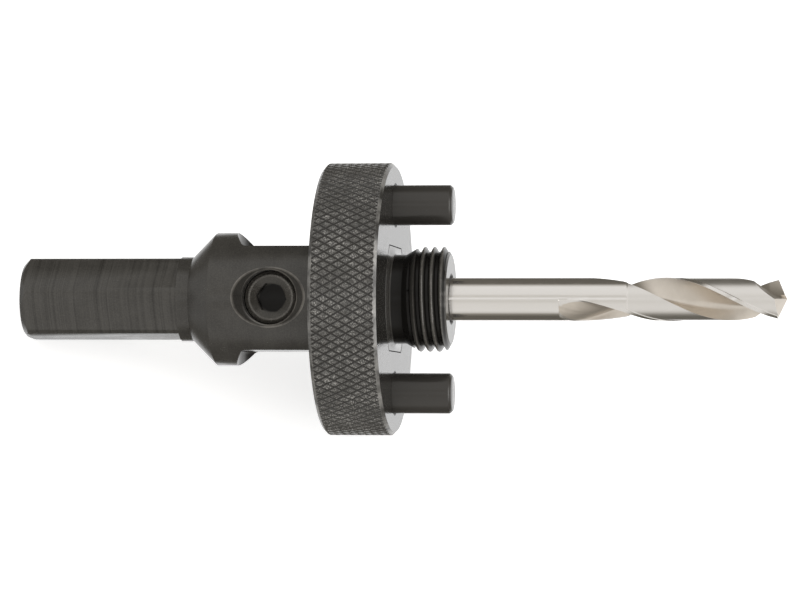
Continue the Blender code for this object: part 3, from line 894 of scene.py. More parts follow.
@dataclass
class ArborBody(Assembly):
    """Shank, neck, cone, flange, wrench flats, relief neck and threaded nose, in one piece."""

    shank_flats: float = 0.0113
    shank_d: float = 0.0126
    shank_length: float = 0.0238
    shank_chamfer: float = 0.0009
    shank_clocking: float = math.radians(39.0)
    neck_length: float = 0.0018
    body_d: float = 0.0198
    flange_width: float = 0.0030
    flat_length: float = 0.0236
    wrench_flats: float = 0.0154
    mill_r: float = 0.0125
    flat_fillet: float = 0.00035
    relief_d: float = 0.0132
    relief_length: float = 0.0018
    lead_in: float = math.radians(30.0)
    thread_d: float = 0.0156
    thread_pitch: float = 0.0254 / 18
    thread_phase: float = math.radians(286.0)
    thread_height: float = 0.52 * 0.0254 / 18
    nose_length: float = 0.0084
    nose_face_d: float = 0.0132
    nose_chamfer: float = math.radians(60.0)
    bore_d: float = 0.0067
    bore_mouth_d: float = 0.0077
    bore_floor_x: float = -0.0242
    bore_end_angle: float = math.radians(59.0)
    screw_x: float = -0.0175
    screw_hole_d: float = 0.00804
    screw_mouth_d: float = 0.0107
    screw_thread_pitch: float = 0.00125
    screw_thread_depth: float = 0.00034
    ball_x: float = -0.0078
    ball_hole_d: float = 0.0033
    ball_hole_depth: float = 0.0052
    edge_break: float = 0.00012
    steps: int = 192
    # Painted shade darkens the nose thread's roots and the relief neck; the thread's crests and the screw
    # hole's countersink rims are lightened as bare metal and painted highlight.
    finish: BlackOxide = BlackOxide("body_oxide", wear_and_highlight_from=(0.00758, 0.0077),
                                    wear_and_shade_span=(0.0002, 0.0082), shaded=0.45,
                                    shaded_from=(0.00725, 0.00765), milled_to=-0.0322,
                                    hole=CountersunkHole(-0.0175, 0.00402, 0.00535, 0.0099))

    @property
    def cone_end_x(self) -> float:
        """Where the cone meets the flange."""
        return -self.flat_length - self.flange_width

    @property
    def neck_end_x(self) -> float:
        """Where the cone meets the neck."""
        return self.cone_end_x - (self.body_d - self.shank_d) / 2

    @property
    def hexagon_end_x(self) -> float:
        """Where the hexagon's flats end."""
        return self.neck_end_x - self.neck_length

    @property
    def shank_end_x(self) -> float:
        """The arbor's rear end."""
        return self.hexagon_end_x - self.shank_length

    @property
    def thread_minor_r(self) -> float:
        """Radius at the bottom of the nose's thread."""
        return self.thread_d / 2 - self.thread_height

    def stock(self) -> bpy.types.Object:
        """Turn the outside, with the thread's core running past the nose face.

        Returns:
            The turned piece.
        """
        radius = self.body_d / 2
        shank_r = self.shank_d / 2
        shoulder_x = self.relief_length / 2
        nose_x = self.nose_length + self.thread_pitch / 4
        half_bend = math.radians(22.5)
        flange_break = self.edge_break * math.tan(half_bend)
        return solid("arbor_body_fine", turned([
            (self.shank_end_x, 0.0),
            (self.shank_end_x, shank_r - self.shank_chamfer),
            (self.shank_end_x + self.shank_chamfer, shank_r),
            (self.neck_end_x, shank_r),
            (self.cone_end_x - flange_break, radius - flange_break),
            (self.cone_end_x + flange_break, radius),
            (shoulder_x, radius),
            (shoulder_x, self.thread_minor_r),
            (nose_x, self.thread_minor_r),
            (nose_x, 0.0),
        ], self.steps))

    def hexagon_tool(self) -> bpy.types.Object:
        """What the mill takes off round the hexagon.

        Returns:
            The tool.
        """
        reach = self.shank_chamfer * 2
        disc = solid("hexagon_tool", turned([
            (self.shank_end_x - reach, 0.0),
            (self.shank_end_x - reach, self.shank_d),
            (self.hexagon_end_x, self.shank_d),
            (self.hexagon_end_x, 0.0),
        ], 24))
        outline = hexagon(self.shank_end_x - 2 * reach, self.shank_flats, self.shank_clocking + math.pi / 6)
        left = solid("hexagon_left", prism(outline, Vector((self.shank_length + 3 * reach, 0, 0))))
        return worked(disc, [(Cut.REMOVE, left)])

    def flat_tool(self, side: Side) -> bpy.types.Object:
        """Milled pocket over one wrench flat, with the end mill's round shoulder at the flange.

        Args:
            side: The flat's side.

        Returns:
            The tool.
        """
        end_x = self.relief_length / 2
        floor_y = side.value * self.wrench_flats / 2
        arc_steps = 72
        outline = [Vector((end_x, floor_y, -self.mill_r))]
        for i in range(arc_steps + 1):
            angle = math.pi / 2 + math.pi * i / arc_steps
            outline.append(Vector((self.mill_r - self.flat_length + self.mill_r * math.cos(angle), floor_y,
                                   -self.mill_r * math.sin(angle))))
        outline.append(Vector((end_x, floor_y, self.mill_r)))
        shape = prism(outline, Vector((0.0, side.value * self.body_d / 2, 0.0)))
        arc_end = self.mill_r - self.flat_length + 1e-6
        arc = [edge for edge in shape.edges
               if all(abs(v.co.y - floor_y) < 1e-6 and v.co.x < arc_end for v in edge.verts)]
        bmesh.ops.bevel(shape, geom=arc, offset=self.flat_fillet, offset_type="OFFSET", segments=5,
                        profile=0.5, affect="EDGES", material=-1)
        return solid(f"flat_tool_{side.name.lower()}", shape)

    def nose_thread(self) -> bpy.types.Object:
        """The thread's ridge, with its crest rounded as a die leaves it.

        Returns:
            The ridge, longer than the nose at both ends.
        """
        pitch = self.thread_pitch
        crest_half = pitch / 13
        round_off = pitch / 18
        base_r = self.thread_minor_r - 0.06 * pitch
        base_half = crest_half + (self.thread_d / 2 - base_r) * math.tan(THREAD_FLANK)
        root_r = self.relief_d / 2 - pitch / 8
        crest_r = self.thread_d / 2
        half = [(base_half, root_r), (base_half, base_r), (crest_half + round_off * 0.6, crest_r - round_off),
                (crest_half * 0.5, crest_r)]
        section = [(-x, r) for x, r in half] + half[::-1]
        start_x = self.relief_length - pitch / 4
        turns = (self.nose_length + pitch - start_x) / pitch
        return solid("nose_thread", coiled([(start_x + x, r) for x, r in section], self.thread_phase,
                                           pitch, turns, 120))

    def nose_envelope(self) -> bpy.types.Object:
        """What is left of the nose: relief neck, lead-in, thread height, chamfer and end plane.

        Returns:
            The tool.
        """
        far = self.body_d
        height = self.thread_d / 2 + 0.02 * self.thread_pitch
        lead = (height - self.relief_d / 2) / math.tan(self.lead_in)
        chamfer = (height - self.nose_face_d / 2) / math.tan(self.nose_chamfer)
        edge = self.edge_break
        corner = 2 * edge
        return solid("nose_envelope", turned([
            (self.shank_end_x - far, 0.0),
            (self.shank_end_x - far, far),
            (-far, far),
            (-edge, self.body_d / 2),
            (0.0, self.body_d / 2 - edge),
            (0.0, self.relief_d / 2 + corner),
            (corner * 0.3, self.relief_d / 2 + corner * 0.3),
            (corner, self.relief_d / 2),
            (self.relief_length, self.relief_d / 2),
            (self.relief_length + lead, height),
            (self.nose_length - chamfer, height),
            (self.nose_length, self.nose_face_d / 2),
            (self.nose_length, 0.0),
        ], self.steps))

    def bore_tool(self) -> bpy.types.Object:
        """Blind bore of the pilot drill, with its drilled end and its countersunk mouth.

        Returns:
            The tool.
        """
        radius = self.bore_d / 2
        mouth = self.bore_mouth_d / 2 - radius
        return solid("bore_tool", turned([
            (self.bore_floor_x - radius / math.tan(self.bore_end_angle), 0.0),
            (self.bore_floor_x, radius),
            (self.nose_length - mouth, radius),
            (self.nose_length + radius, 2 * radius + mouth),
            (self.nose_length + radius, 0.0),
        ], 96))

    def screw_hole_tools(self) -> list[bpy.types.Object]:
        """The set screw's hole with its countersink, and the thread cut into its wall.

        Returns:
            The hole's tool and the groove's tool.
        """
        skin = self.body_d / 2
        radius = self.screw_hole_d / 2
        mouth = self.screw_mouth_d / 2
        outside = skin * 1.5
        place = radial_place(self.screw_x, 0.0)
        hole = solid("screw_hole", turned([
            (0.0, 0.0),
            (0.0, radius),
            (skin - (mouth - radius), radius),
            (outside, mouth + outside - skin),
            (outside, 0.0),
        ], 96), place)
        pitch = self.screw_thread_pitch
        sunk = 0.1 * self.screw_thread_depth
        half = (self.screw_thread_depth + sunk) * math.tan(THREAD_FLANK) + pitch / 16
        section = [(-half, radius - sunk), (-pitch / 16, radius + self.screw_thread_depth),
                   (pitch / 16, radius + self.screw_thread_depth), (half, radius - sunk)]
        start = self.bore_d / 2 * 0.6
        turns = (skin - start) / pitch
        groove = solid("screw_thread", coiled([(start + x, r) for x, r in section], 0.0, pitch, turns, 96),
                       place)
        return [hole, groove]

    def ball_hole_tool(self) -> bpy.types.Object:
        """Blind hole of the detent's ball, facing away from the set screw.

        Returns:
            The tool.
        """
        skin = self.body_d / 2
        radius = self.ball_hole_d / 2
        floor = skin - self.ball_hole_depth
        return solid("ball_hole", turned([(floor, 0.0), (floor, radius), (skin * 1.5, radius),
                                          (skin * 1.5, 0.0)], 48), radial_place(self.ball_x, 0.0, -1.0))

    def build(self) -> list[bpy.types.Object]:
        """Make the body, in the order in which it would be cut.

        Returns:
            The finished piece, alone in its list.
        """
        body = worked(self.stock(), [
            (Cut.REMOVE, self.hexagon_tool()),
            (Cut.REMOVE, self.flat_tool(Side.UPPER)),
            (Cut.REMOVE, self.flat_tool(Side.LOWER)),
            (Cut.JOIN, self.nose_thread()),
            (Cut.KEEP, self.nose_envelope()),
        ])
        hole, groove = self.screw_hole_tools()
        worked(body, [(Cut.REMOVE, self.bore_tool()), (Cut.REMOVE, hole), (Cut.REMOVE, groove),
                      (Cut.REMOVE, self.ball_hole_tool())])
        material = self.finish.build(self.rest, self.patterns)
        return [self.dress(body, "arbor", "body_oxide", material, "arbor_body")]


@dataclass
class DriveCollar(Assembly):
    """Knurled ring with a double-D bore and two drive pins, which slides along the wrench flats."""

    outer_d: float = 0.0404
    width: float = 0.0100
    chamfer: float = 0.0005
    body_d: float = 0.0198
    wrench_flats: float = 0.0154
    clearance: float = 0.00015
    knurl_count: int = 100
    knurl_angle: float = math.radians(30.0)
    knurl_depth: float = 0.00018
    knurl_flat: float = 0.50
    pin_d: float = 0.0060
    pin_spacing: float = 0.0279
    pin_reach: float = 0.0087
    pin_chamfer: float = 0.0004
    pin_fit: float = 0.00010
    pin_back: float = 0.0004
    pin_mouth_d: float = 0.0067
    steps: int = 200
    # The knurl's peaks carry bare metal and painted glints, its chamfers bare metal and painted highlight;
    # below the peaks the grooves and faces take the dark colour, as painted shade in the grooves.
    finish: BlackOxide = BlackOxide("knurled_oxide", light=(0.088, 0.085, 0.080),
                                    worn_and_highlight=(0.50, 0.485, 0.46), roughness=0.22, specks=0.14, wear_and_highlight=0.02,
                                    sparkle=1.0, mark_depth=0.00001, wear_and_highlight_from=(0.02008, 0.02018),
                                    shaded=1.1, shaded_from=(0.02002, 0.02012),
                                    edges=((-0.01, -0.0095), (-0.0005, -0.00002)), edge_from=0.0196)
    pin_finish: BlackOxide = BlackOxide("pin_oxide", dark=(0.056, 0.052, 0.047),
                                        light=(0.100, 0.094, 0.086), marks_per_metre=3600.0)

    def knurled_blank(self) -> bpy.types.Object:
        """Ring of raised diamonds, each inset and lifted from one face, closed by its two ends.

        Returns:
            The blank, a little longer than the ring.
        """
        peak_r = self.outer_d / 2
        root_r = peak_r - self.knurl_depth
        half_angle = math.pi / self.knurl_count
        half_length = root_r * half_angle / math.tan(self.knurl_angle)
        weld = 1e-6
        shape = bmesh.new()
        corners = []
        for x, angle in ((-half_length, 0.0), (0.0, -half_angle), (half_length, 0.0), (0.0, half_angle)):
            corners.append(shape.verts.new((x, root_r * math.cos(angle), root_r * math.sin(angle))))
        face = shape.faces.new(corners[::-1])
        face.normal_update()
        slope = root_r * half_angle * math.cos(self.knurl_angle)
        bmesh.ops.inset_individual(shape, faces=[face], thickness=slope * (1 - self.knurl_flat),
                                   depth=self.knurl_depth, use_even_offset=True)
        copies = self.knurl_count - 1
        bmesh.ops.spin(shape, geom=shape.verts[:] + shape.edges[:] + shape.faces[:], cent=(0, 0, 0),
                       axis=(1, 0, 0), angle=2 * half_angle * copies, steps=copies, use_duplicate=True)
        bmesh.ops.remove_doubles(shape, verts=shape.verts, dist=weld)
        rows = math.ceil(self.width / half_length) + 2
        first = shape.verts[:] + shape.edges[:] + shape.faces[:]
        for row in range(1, rows):
            copy = bmesh.ops.duplicate(shape, geom=first)["geom"]
            verts = [item for item in copy if isinstance(item, bmesh.types.BMVert)]
            bmesh.ops.rotate(shape, verts=verts, cent=(0, 0, 0),
                             matrix=Matrix.Rotation(half_angle * (row % 2), 3, "X"))
            bmesh.ops.translate(shape, verts=verts, vec=(half_length * row, 0, 0))
        bmesh.ops.remove_doubles(shape, verts=shape.verts, dist=weld)
        rear_x = -self.width / 2 - half_length * (rows - 1) / 2
        bmesh.ops.translate(shape, verts=shape.verts, vec=(rear_x, 0, 0))
        spare = half_length * 0.2
        ends = ((-self.width - spare, True), (spare, False))
        for x, rear in ends:
            geometry = shape.verts[:] + shape.edges[:] + shape.faces[:]
            cut = bmesh.ops.bisect_plane(shape, geom=geometry, dist=1e-7, plane_co=(x, 0, 0),
                                         plane_no=(1, 0, 0), clear_inner=rear, clear_outer=not rear)
            rim = [item for item in cut["geom_cut"] if isinstance(item, bmesh.types.BMEdge)]
            bmesh.ops.holes_fill(shape, edges=rim, sides=0)
        return solid("drive_collar_fine", shape)

    def rim_envelope(self) -> bpy.types.Object:
        """The ring's two faces and their chamfers.

        Returns:
            The tool.
        """
        radius = self.outer_d / 2
        return solid("rim_envelope", turned([
            (-self.width, 0.0),
            (-self.width, radius - self.chamfer),
            (-self.width + self.chamfer * 2, radius + self.chamfer),
            (-self.chamfer * 2, radius + self.chamfer),
            (0.0, radius - self.chamfer),
            (0.0, 0.0),
        ], self.steps))

    def bore_tool(self) -> bpy.types.Object:
        """Double-D bore that slides on the body.

        Returns:
            The tool.
        """
        bore_r = self.body_d / 2 + self.clearance
        corner = math.asin((self.wrench_flats / 2 + self.clearance) / bore_r)
        arc_steps = 40
        start_x = -1.5 * self.width
        outline = []
        for middle in (0.0, math.pi):
            for i in range(arc_steps + 1):
                angle = middle - corner + 2 * corner * i / arc_steps
                outline.append(Vector((start_x, bore_r * math.sin(angle), bore_r * math.cos(angle))))
        return solid("collar_bore", prism(outline, Vector((2 * self.width, 0.0, 0.0))))

    def pin_hole_tool(self, side: Side) -> bpy.types.Object:
        """Through hole of one pin, countersunk at the front face.

        Args:
            side: The pin's side.

        Returns:
            The tool.
        """
        radius = self.pin_d / 2 + self.pin_fit
        mouth = self.pin_mouth_d / 2 - radius
        place = Matrix.Translation((0.0, side.value * self.pin_spacing / 2, 0.0))
        return solid(f"pin_hole_{side.name.lower()}", turned([
            (-1.5 * self.width, 0.0),
            (-1.5 * self.width, radius),
            (-mouth, radius),
            (mouth, radius + 2 * mouth),
            (mouth, 0.0),
        ], 72), place)

    def pin(self, side: Side) -> bpy.types.Object:
        """One drive pin, chamfered where it enters the saw's plate.

        Args:
            side: The pin's side.

        Returns:
            The finished shape, still in the arbor's own frame.
        """
        radius = self.pin_d / 2
        end_x = self.pin_reach
        start_x = -self.width + self.pin_back
        small = self.pin_chamfer * 0.35
        place = Matrix.Translation((0.0, side.value * self.pin_spacing / 2, 0.0))
        return solid(f"drive_pin_{side.name.lower()}_fine", turned([
            (start_x, 0.0),
            (start_x, radius - small),
            (start_x + small, radius),
            (end_x - self.pin_chamfer * 1.3, radius),
            (end_x - self.pin_chamfer * 0.9, radius - self.pin_chamfer * 0.12),
            (end_x - self.pin_chamfer * 0.1, radius - self.pin_chamfer * 0.92),
            (end_x, radius - self.pin_chamfer * 1.15),
            (end_x, 0.0),
        ], 72), place)

    def build(self) -> list[bpy.types.Object]:
        """Make the ring and its two pins.

        Returns:
            The finished pieces.
        """
        ring = worked(self.knurled_blank(), [
            (Cut.KEEP, self.rim_envelope()),
            (Cut.REMOVE, self.bore_tool()),
            (Cut.REMOVE, self.pin_hole_tool(Side.UPPER)),
            (Cut.REMOVE, self.pin_hole_tool(Side.LOWER)),
        ])
        ring_material = self.finish.build(self.rest, self.patterns)
        pieces = [self.dress(ring, "collar", "collar_oxide", ring_material, "drive_collar", crease=12.0)]
        pin_material = self.pin_finish.build(self.rest, self.patterns)
        for side, node in ((Side.UPPER, "drive_pin_1"), (Side.LOWER, "drive_pin_2")):
            pieces.append(self.dress(self.pin(side), "collar", "pin_oxide", pin_material, node))
        return pieces


@dataclass
class PilotDrill(Assembly):
    """Quarter-inch twist drill with run-out flutes, relieved lands and a split point."""

    diameter: float = 0.0064
    length: float = 0.0816
    tip_x: float = 0.0580
    end_chamfer: float = 0.0004
    fluted_length: float = 0.0333
    flute_run_out: float = 0.0095
    flute_lead: float = 0.0390
    flute_opening: float = math.radians(90.0)
    first_depth: float = 0.00015
    run_out_turn: float = math.radians(18.0)
    root_r: float = 0.0009
    web: float = 0.0013
    margin: float = 0.0006
    land_relief: float = 0.0001
    relief_start: float = 0.0099
    point_angle: float = math.radians(135.0)
    clocking: float = math.radians(155.0)
    lip_clearance: float = math.radians(10.0)
    chisel: float = 0.00016
    split_angle: float = math.radians(32.0)
    flute_steps: int = 150
    run_out_steps: int = 48
    flute_points_kept: int = 40
    finish: GroundSteel = GroundSteel("ground_steel")

    @property
    def radius(self) -> float:
        """Radius of the shank and of the margins."""
        return self.diameter / 2

    @property
    def rise(self) -> float:
        """How far the point falls back for each metre away from the axis."""
        return 1 / math.tan(self.point_angle / 2)

    @property
    def corner_x(self) -> float:
        """Where the cutting corners lie."""
        return self.tip_x - self.radius * self.rise

    @property
    def first_lift(self) -> float:
        """How far the flutes' wheel is raised where it first cuts."""
        return self.radius - self.web / 2 - self.first_depth

    def turn_over(self, length: float) -> float:
        """Angle that the flutes turn through over a length."""
        return math.tau * length / self.flute_lead

    def rake_points(self, steps: int) -> list[Point]:
        """Flute wall ahead of a lip, which is what the straight lip sweeps along the helix.

        Args:
            steps: Number of points.

        Returns:
            Points as (radius, angle from the cutting corner), from the corner inwards.
        """
        half_web = self.web / 2
        reach = math.sqrt(self.radius ** 2 - half_web ** 2)
        corner = math.atan2(half_web, reach)
        points = []
        for i in range(1, steps + 1):
            along = reach * (1 - i / steps)
            angle = math.atan2(half_web, along) - corner - self.turn_over((reach - along) * self.rise)
            points.append((math.hypot(half_web, along), angle))
        return points

    def root_points(self, root_angle: float, heel_radius: float, steps: int) -> list[Point]:
        """Rounded root beside the web, then the straight wall up to the heel.

        Args:
            root_angle: Angle at which the rake wall ends.
            heel_radius: Radius of the heel.
            steps: Number of points on the root.

        Returns:
            Points as (radius, angle from the cutting corner).
        """
        opening = self.flute_opening
        centre = Vector((math.cos(root_angle), math.sin(root_angle))) * (self.web / 2 + self.root_r)
        heel = heel_radius * Vector((math.cos(opening), math.sin(opening)))
        to_centre = centre - heel
        lean = math.asin(self.root_r / to_centre.length)
        along = math.atan2(to_centre.y, to_centre.x) - lean
        wall_end = heel + to_centre.length * math.cos(lean) * Vector((math.cos(along), math.sin(along)))
        first = root_angle + math.pi
        last = math.atan2(wall_end.y - centre.y, wall_end.x - centre.x) % math.tau
        places = []
        for i in range(1, steps + 1):
            angle = first + (last - first) * i / steps
            places.append(centre + self.root_r * Vector((math.cos(angle), math.sin(angle))))
        wall_steps = 4
        places += [wall_end.lerp(heel, i / wall_steps) for i in range(1, wall_steps)]
        return [(place.length, math.atan2(place.y, place.x)) for place in places]

    def flute_points(self, heel_radius: float, lift: float) -> tuple[list[Point], float, float]:
        """What is left of the flute's section when the wheel has been raised.

        Args:
            heel_radius: Radius of the heel.
            lift: How far the wheel is raised.

        Returns:
            Points as (radius, angle), and the angles of the flute's two edges.
        """
        rake = self.rake_points(16)
        path = [(self.radius, 0.0)] + rake + self.root_points(rake[-1][1], heel_radius, 16)
        path.append((heel_radius, self.flute_opening))
        raised = [(r + lift, angle) for r, angle in path]
        inner = [i for i, (r, _) in enumerate(raised) if r < self.radius - 1e-7]
        if lift > 0.0:
            edges = []
            for inside, outside in ((inner[0], inner[0] - 1), (inner[-1], inner[-1] + 1)):
                share = (self.radius - raised[inside][0]) / (raised[outside][0] - raised[inside][0])
                angle = raised[inside][1] + share * (raised[outside][1] - raised[inside][1])
                edges.append((self.radius, angle))
            raised = [edges[0]] + raised[inner[0]:inner[-1] + 1] + [edges[1]]
        places = [Vector((r * math.cos(angle), r * math.sin(angle))) for r, angle in raised]
        lengths = [0.0]
        for place, following in zip(places, places[1:]):
            lengths.append(lengths[-1] + (following - place).length)
        points = []
        at = 0
        for i in range(1, self.flute_points_kept + 1):
            target = lengths[-1] * i / (self.flute_points_kept + 1)
            while lengths[at + 1] < target:
                at += 1
            share = (target - lengths[at]) / (lengths[at + 1] - lengths[at])
            place = places[at].lerp(places[at + 1], share)
            points.append((place.length, math.atan2(place.y, place.x)))
        return points, raised[0][1], raised[-1][1]

    def section(self, lift: float, relief: float) -> list[tuple[float, float, float]]:
        """Closed section of the two-flute drill.

        Args:
            lift: How far the flutes' wheel is raised.
            relief: How far the land lies below the margin.

        Returns:
            Points as (radius, angle, share of the way behind the lip).
        """
        heel_radius = self.radius - relief
        flute, corner, heel = self.flute_points(heel_radius, lift)
        turn = self.run_out_turn * lift / self.first_lift
        flute = [(r, angle + turn) for r, angle in flute]
        corner += turn
        heel += turn
        margin = self.margin / self.radius
        land = corner - heel + math.pi
        land_steps = 14
        half = []
        for i in range(land_steps + 1):
            behind = 1 - i / land_steps
            angle = corner - margin * 1.2 - (land - margin * 1.2) * behind
            half.append((heel_radius, angle, behind))
        half += [(self.radius, corner - margin * share, margin * share / land) for share in (1.0, 0.5, 0.0)]
        half += [(r, angle, (i + 1) / (len(flute) + 1)) for i, (r, angle) in enumerate(flute)]
        return half + [(r, angle + math.pi, behind) for r, angle, behind in half]

    def stations(self) -> list[float]:
        """Places along the axis where a section is set, from the flutes' start to the point.

        Returns:
            The places, in order.
        """
        start = self.tip_x - self.fluted_length
        run_out_end = start + self.flute_run_out
        relief_x = start + self.relief_start
        heel_fall = math.tan(self.lip_clearance) * (math.pi - self.flute_opening)
        shoulder = self.corner_x - self.radius * heel_fall - self.end_chamfer
        places = [start + self.flute_run_out * i / self.run_out_steps for i in range(self.run_out_steps + 1)]
        middle_steps = 14
        places += [run_out_end + (relief_x - run_out_end) * i / middle_steps
                   for i in range(1, middle_steps + 1)]
        first = relief_x + 2 * self.land_relief
        places += [first + (shoulder - first) * i / self.flute_steps for i in range(self.flute_steps + 1)]
        return places

    def blank(self) -> bpy.types.Object:
        """Loft the drill from its sections, which no operator does: they change as they turn.

        Returns:
            The drill, before its point is split.
        """
        shape = bmesh.new()
        start = self.tip_x - self.fluted_length
        rear_x = self.tip_x - self.length
        relief_from = start + self.relief_start + self.land_relief
        heel_fall = math.tan(self.lip_clearance) * (math.pi - self.flute_opening)

        def ring(points: list[tuple[float, float, float]], x: float, scale: float = 1.0,
                 point: bool = False) -> list[bmesh.types.BMVert]:
            """Set one section, flat across the drill or on the point's own surface.

            Args:
                points: The section.
                x: Its place, where it is flat.
                scale: Share of its radius that it keeps.
                point: Whether it lies on the point's surface.

            Returns:
                Its vertices, in order.
            """
            verts = []
            for r, angle, behind in points:
                place = self.tip_x - r * (self.rise + heel_fall * behind) if point else x
                turn = self.clocking + self.turn_over(place - self.corner_x) + angle
                verts.append(shape.verts.new((place, scale * r * math.cos(turn), scale * r * math.sin(turn))))
            return verts

        def untwisted(x: float) -> list[tuple[float, float, float]]:
            """Round section whose points line up with those at the flutes' start."""
            back = self.turn_over(start - x)
            return [(self.radius, angle + back, 0.0) for _, angle, _ in self.section(self.first_lift, 0.0)]

        chamfer = self.end_chamfer
        rings = [ring(untwisted(rear_x), rear_x, 1.0 - chamfer / self.radius),
                 ring(untwisted(rear_x + chamfer), rear_x + chamfer),
                 ring(untwisted(start - 0.00004), start - 0.00004)]
        for x in self.stations():
            share = min(1.0, (x - start) / self.flute_run_out)
            relief = self.land_relief if x > relief_from else 0.0
            rings.append(ring(self.section(self.first_lift * (1.0 - share ** 1.5), relief), x))
        rings.append(ring(self.section(0.0, self.land_relief), 0.0, point=True))
        count = len(rings[0])
        for row, following in zip(rings, rings[1:]):
            for i in range(count):
                j = (i + 1) % count
                shape.faces.new((row[i], row[j], following[j], following[i]))
        tip = shape.verts.new((self.tip_x, 0.0, 0.0))
        for i in range(count):
            shape.faces.new((rings[-1][i], rings[-1][(i + 1) % count], tip))
        shape.faces.new(rings[0])
        return solid("pilot_drill_fine", shape)

    def split_tool(self, number: int) -> bpy.types.Object:
        """Notch ground behind one lip, which carries the other lip's edge in towards the axis.

        Args:
            number: 1 or 2, for the lip.

        Returns:
            The tool.
        """
        reach = self.diameter
        half_web = self.web / 2
        axis = Vector((1.0, 0.0, 0.0))
        edge = Vector((0.0, -half_web / 2, self.chisel / 2 - half_web)).normalized()
        down = edge * math.sin(self.split_angle) - axis * math.cos(self.split_angle)
        start = Vector((self.tip_x, 0.0, -self.chisel / 2)) - down * reach
        lip = self.clocking - math.asin(self.web / self.diameter) + math.pi * number
        turn = Matrix.Rotation(lip, 3, "X")
        outline = [start, start + axis * 2 * reach, start + axis.cross(edge) * reach]
        return solid(f"split_notch_{number}", prism([turn @ point for point in outline],
                                                    turn @ down * 2 * reach))

    def build(self) -> list[bpy.types.Object]:
        """Make the drill.

        Returns:
            The finished piece, alone in its list.
        """
        drill = worked(self.blank(), [(Cut.REMOVE, self.split_tool(number)) for number in (1, 2)])
        material = self.finish.build(self.rest, self.patterns)
        return [self.dress(drill, "pilot", "ground_steel", material, "pilot_drill", crease=22.0)]


@dataclass
class SetScrew(Assembly):
    """Socket set screw that clamps the pilot drill, threaded, with a coned entry to its hexagon."""

    x: float = -0.0175
    foot_z: float = 0.00335
    diameter: float = 0.0078
    length: float = 0.00395
    foot_chamfer: float = 0.0010
    head_chamfer: float = 0.0005
    pitch: float = 0.00125
    thread_depth: float = 0.00045
    socket_flats: float = 0.0040
    socket_depth: float = 0.0022
    socket_clocking: float = math.radians(8.0)
    rim_inner_d: float = 0.0061
    cone_depth: float = 0.0008
    edge_break: float = 0.0001
    thread_sunk: float = 0.00006
    thread_phase: float = 0.6
    drill_share: float = 0.86
    drill_cone: float = 0.0005
    # Painted shade darkens the key socket; the rim and crests are lightened as bare metal and painted
    # highlight.
    finish: BlackOxide = BlackOxide("screw_oxide", light=(0.090, 0.083, 0.072), roughness=0.22,
                                    marks_per_metre=7000.0, faced=0.22, wear_and_highlight=0.14, shaded=0.40,
                                    shaded_from=(0.0019, 0.0023), wear_and_highlight_from=(0.00306, 0.00312),
                                    wear_and_shade_span=(0.0040, 0.0080))

    def build(self) -> list[bpy.types.Object]:
        """Make the screw along +X, then stand it in its hole.

        Returns:
            The finished piece, alone in its list.
        """
        radius = self.diameter / 2
        core_r = radius - self.thread_depth
        end = self.length
        rim_r = radius - self.head_chamfer
        core = solid("set_screw_fine", turned([
            (0.0, 0.0),
            (0.0, radius - self.foot_chamfer),
            (self.foot_chamfer - self.thread_depth, core_r),
            (end - self.edge_break, core_r),
            (end, core_r - self.edge_break),
            (end, self.rim_inner_d / 2),
            (end - self.cone_depth, self.socket_flats / 2 * 0.9),
            (end - self.cone_depth, 0.0),
        ], 96))
        crest = self.pitch / 16
        sunk_r = core_r - self.thread_sunk
        base = crest + (radius - sunk_r) * math.tan(THREAD_FLANK)
        section = [(-base, sunk_r), (-crest, radius), (crest, radius), (base, sunk_r)]
        turns = (end + self.pitch) / self.pitch
        section = [(x - self.pitch / 2, r) for x, r in section]
        thread = solid("screw_thread_ridge", coiled(section, self.thread_phase, self.pitch, turns, 96))
        envelope = solid("screw_envelope", turned([
            (0.0, 0.0),
            (0.0, radius - self.foot_chamfer),
            (self.foot_chamfer * 1.5, radius + self.foot_chamfer * 0.5),
            (end - self.head_chamfer * 1.5, radius + self.head_chamfer * 0.5),
            (end, rim_r),
            (end, 0.0),
        ], 96))
        bottom = end - self.socket_depth
        outline = hexagon(bottom, self.socket_flats, self.socket_clocking)
        socket = solid("key_socket", prism(outline, Vector((2 * self.socket_depth, 0.0, 0.0))))
        drill_r = self.socket_flats / 2 * self.drill_share
        drill_x = bottom + self.drill_cone / 10
        drilled = solid("socket_drill", turned([
            (drill_x - self.drill_cone, 0.0),
            (drill_x, drill_r),
            (bottom + self.drill_cone, drill_r),
            (bottom + self.drill_cone, 0.0),
        ], 48))
        screw = worked(core, [(Cut.JOIN, thread), (Cut.KEEP, envelope), (Cut.REMOVE, socket),
                              (Cut.REMOVE, drilled)])
        screw.data.transform(radial_place(self.x, self.foot_z))
        material = self.finish.build(self.rest.about(radial_place(self.x, 0.0)), self.patterns)
        return [self.dress(screw, "screw", "screw_oxide", material, "set_screw")]


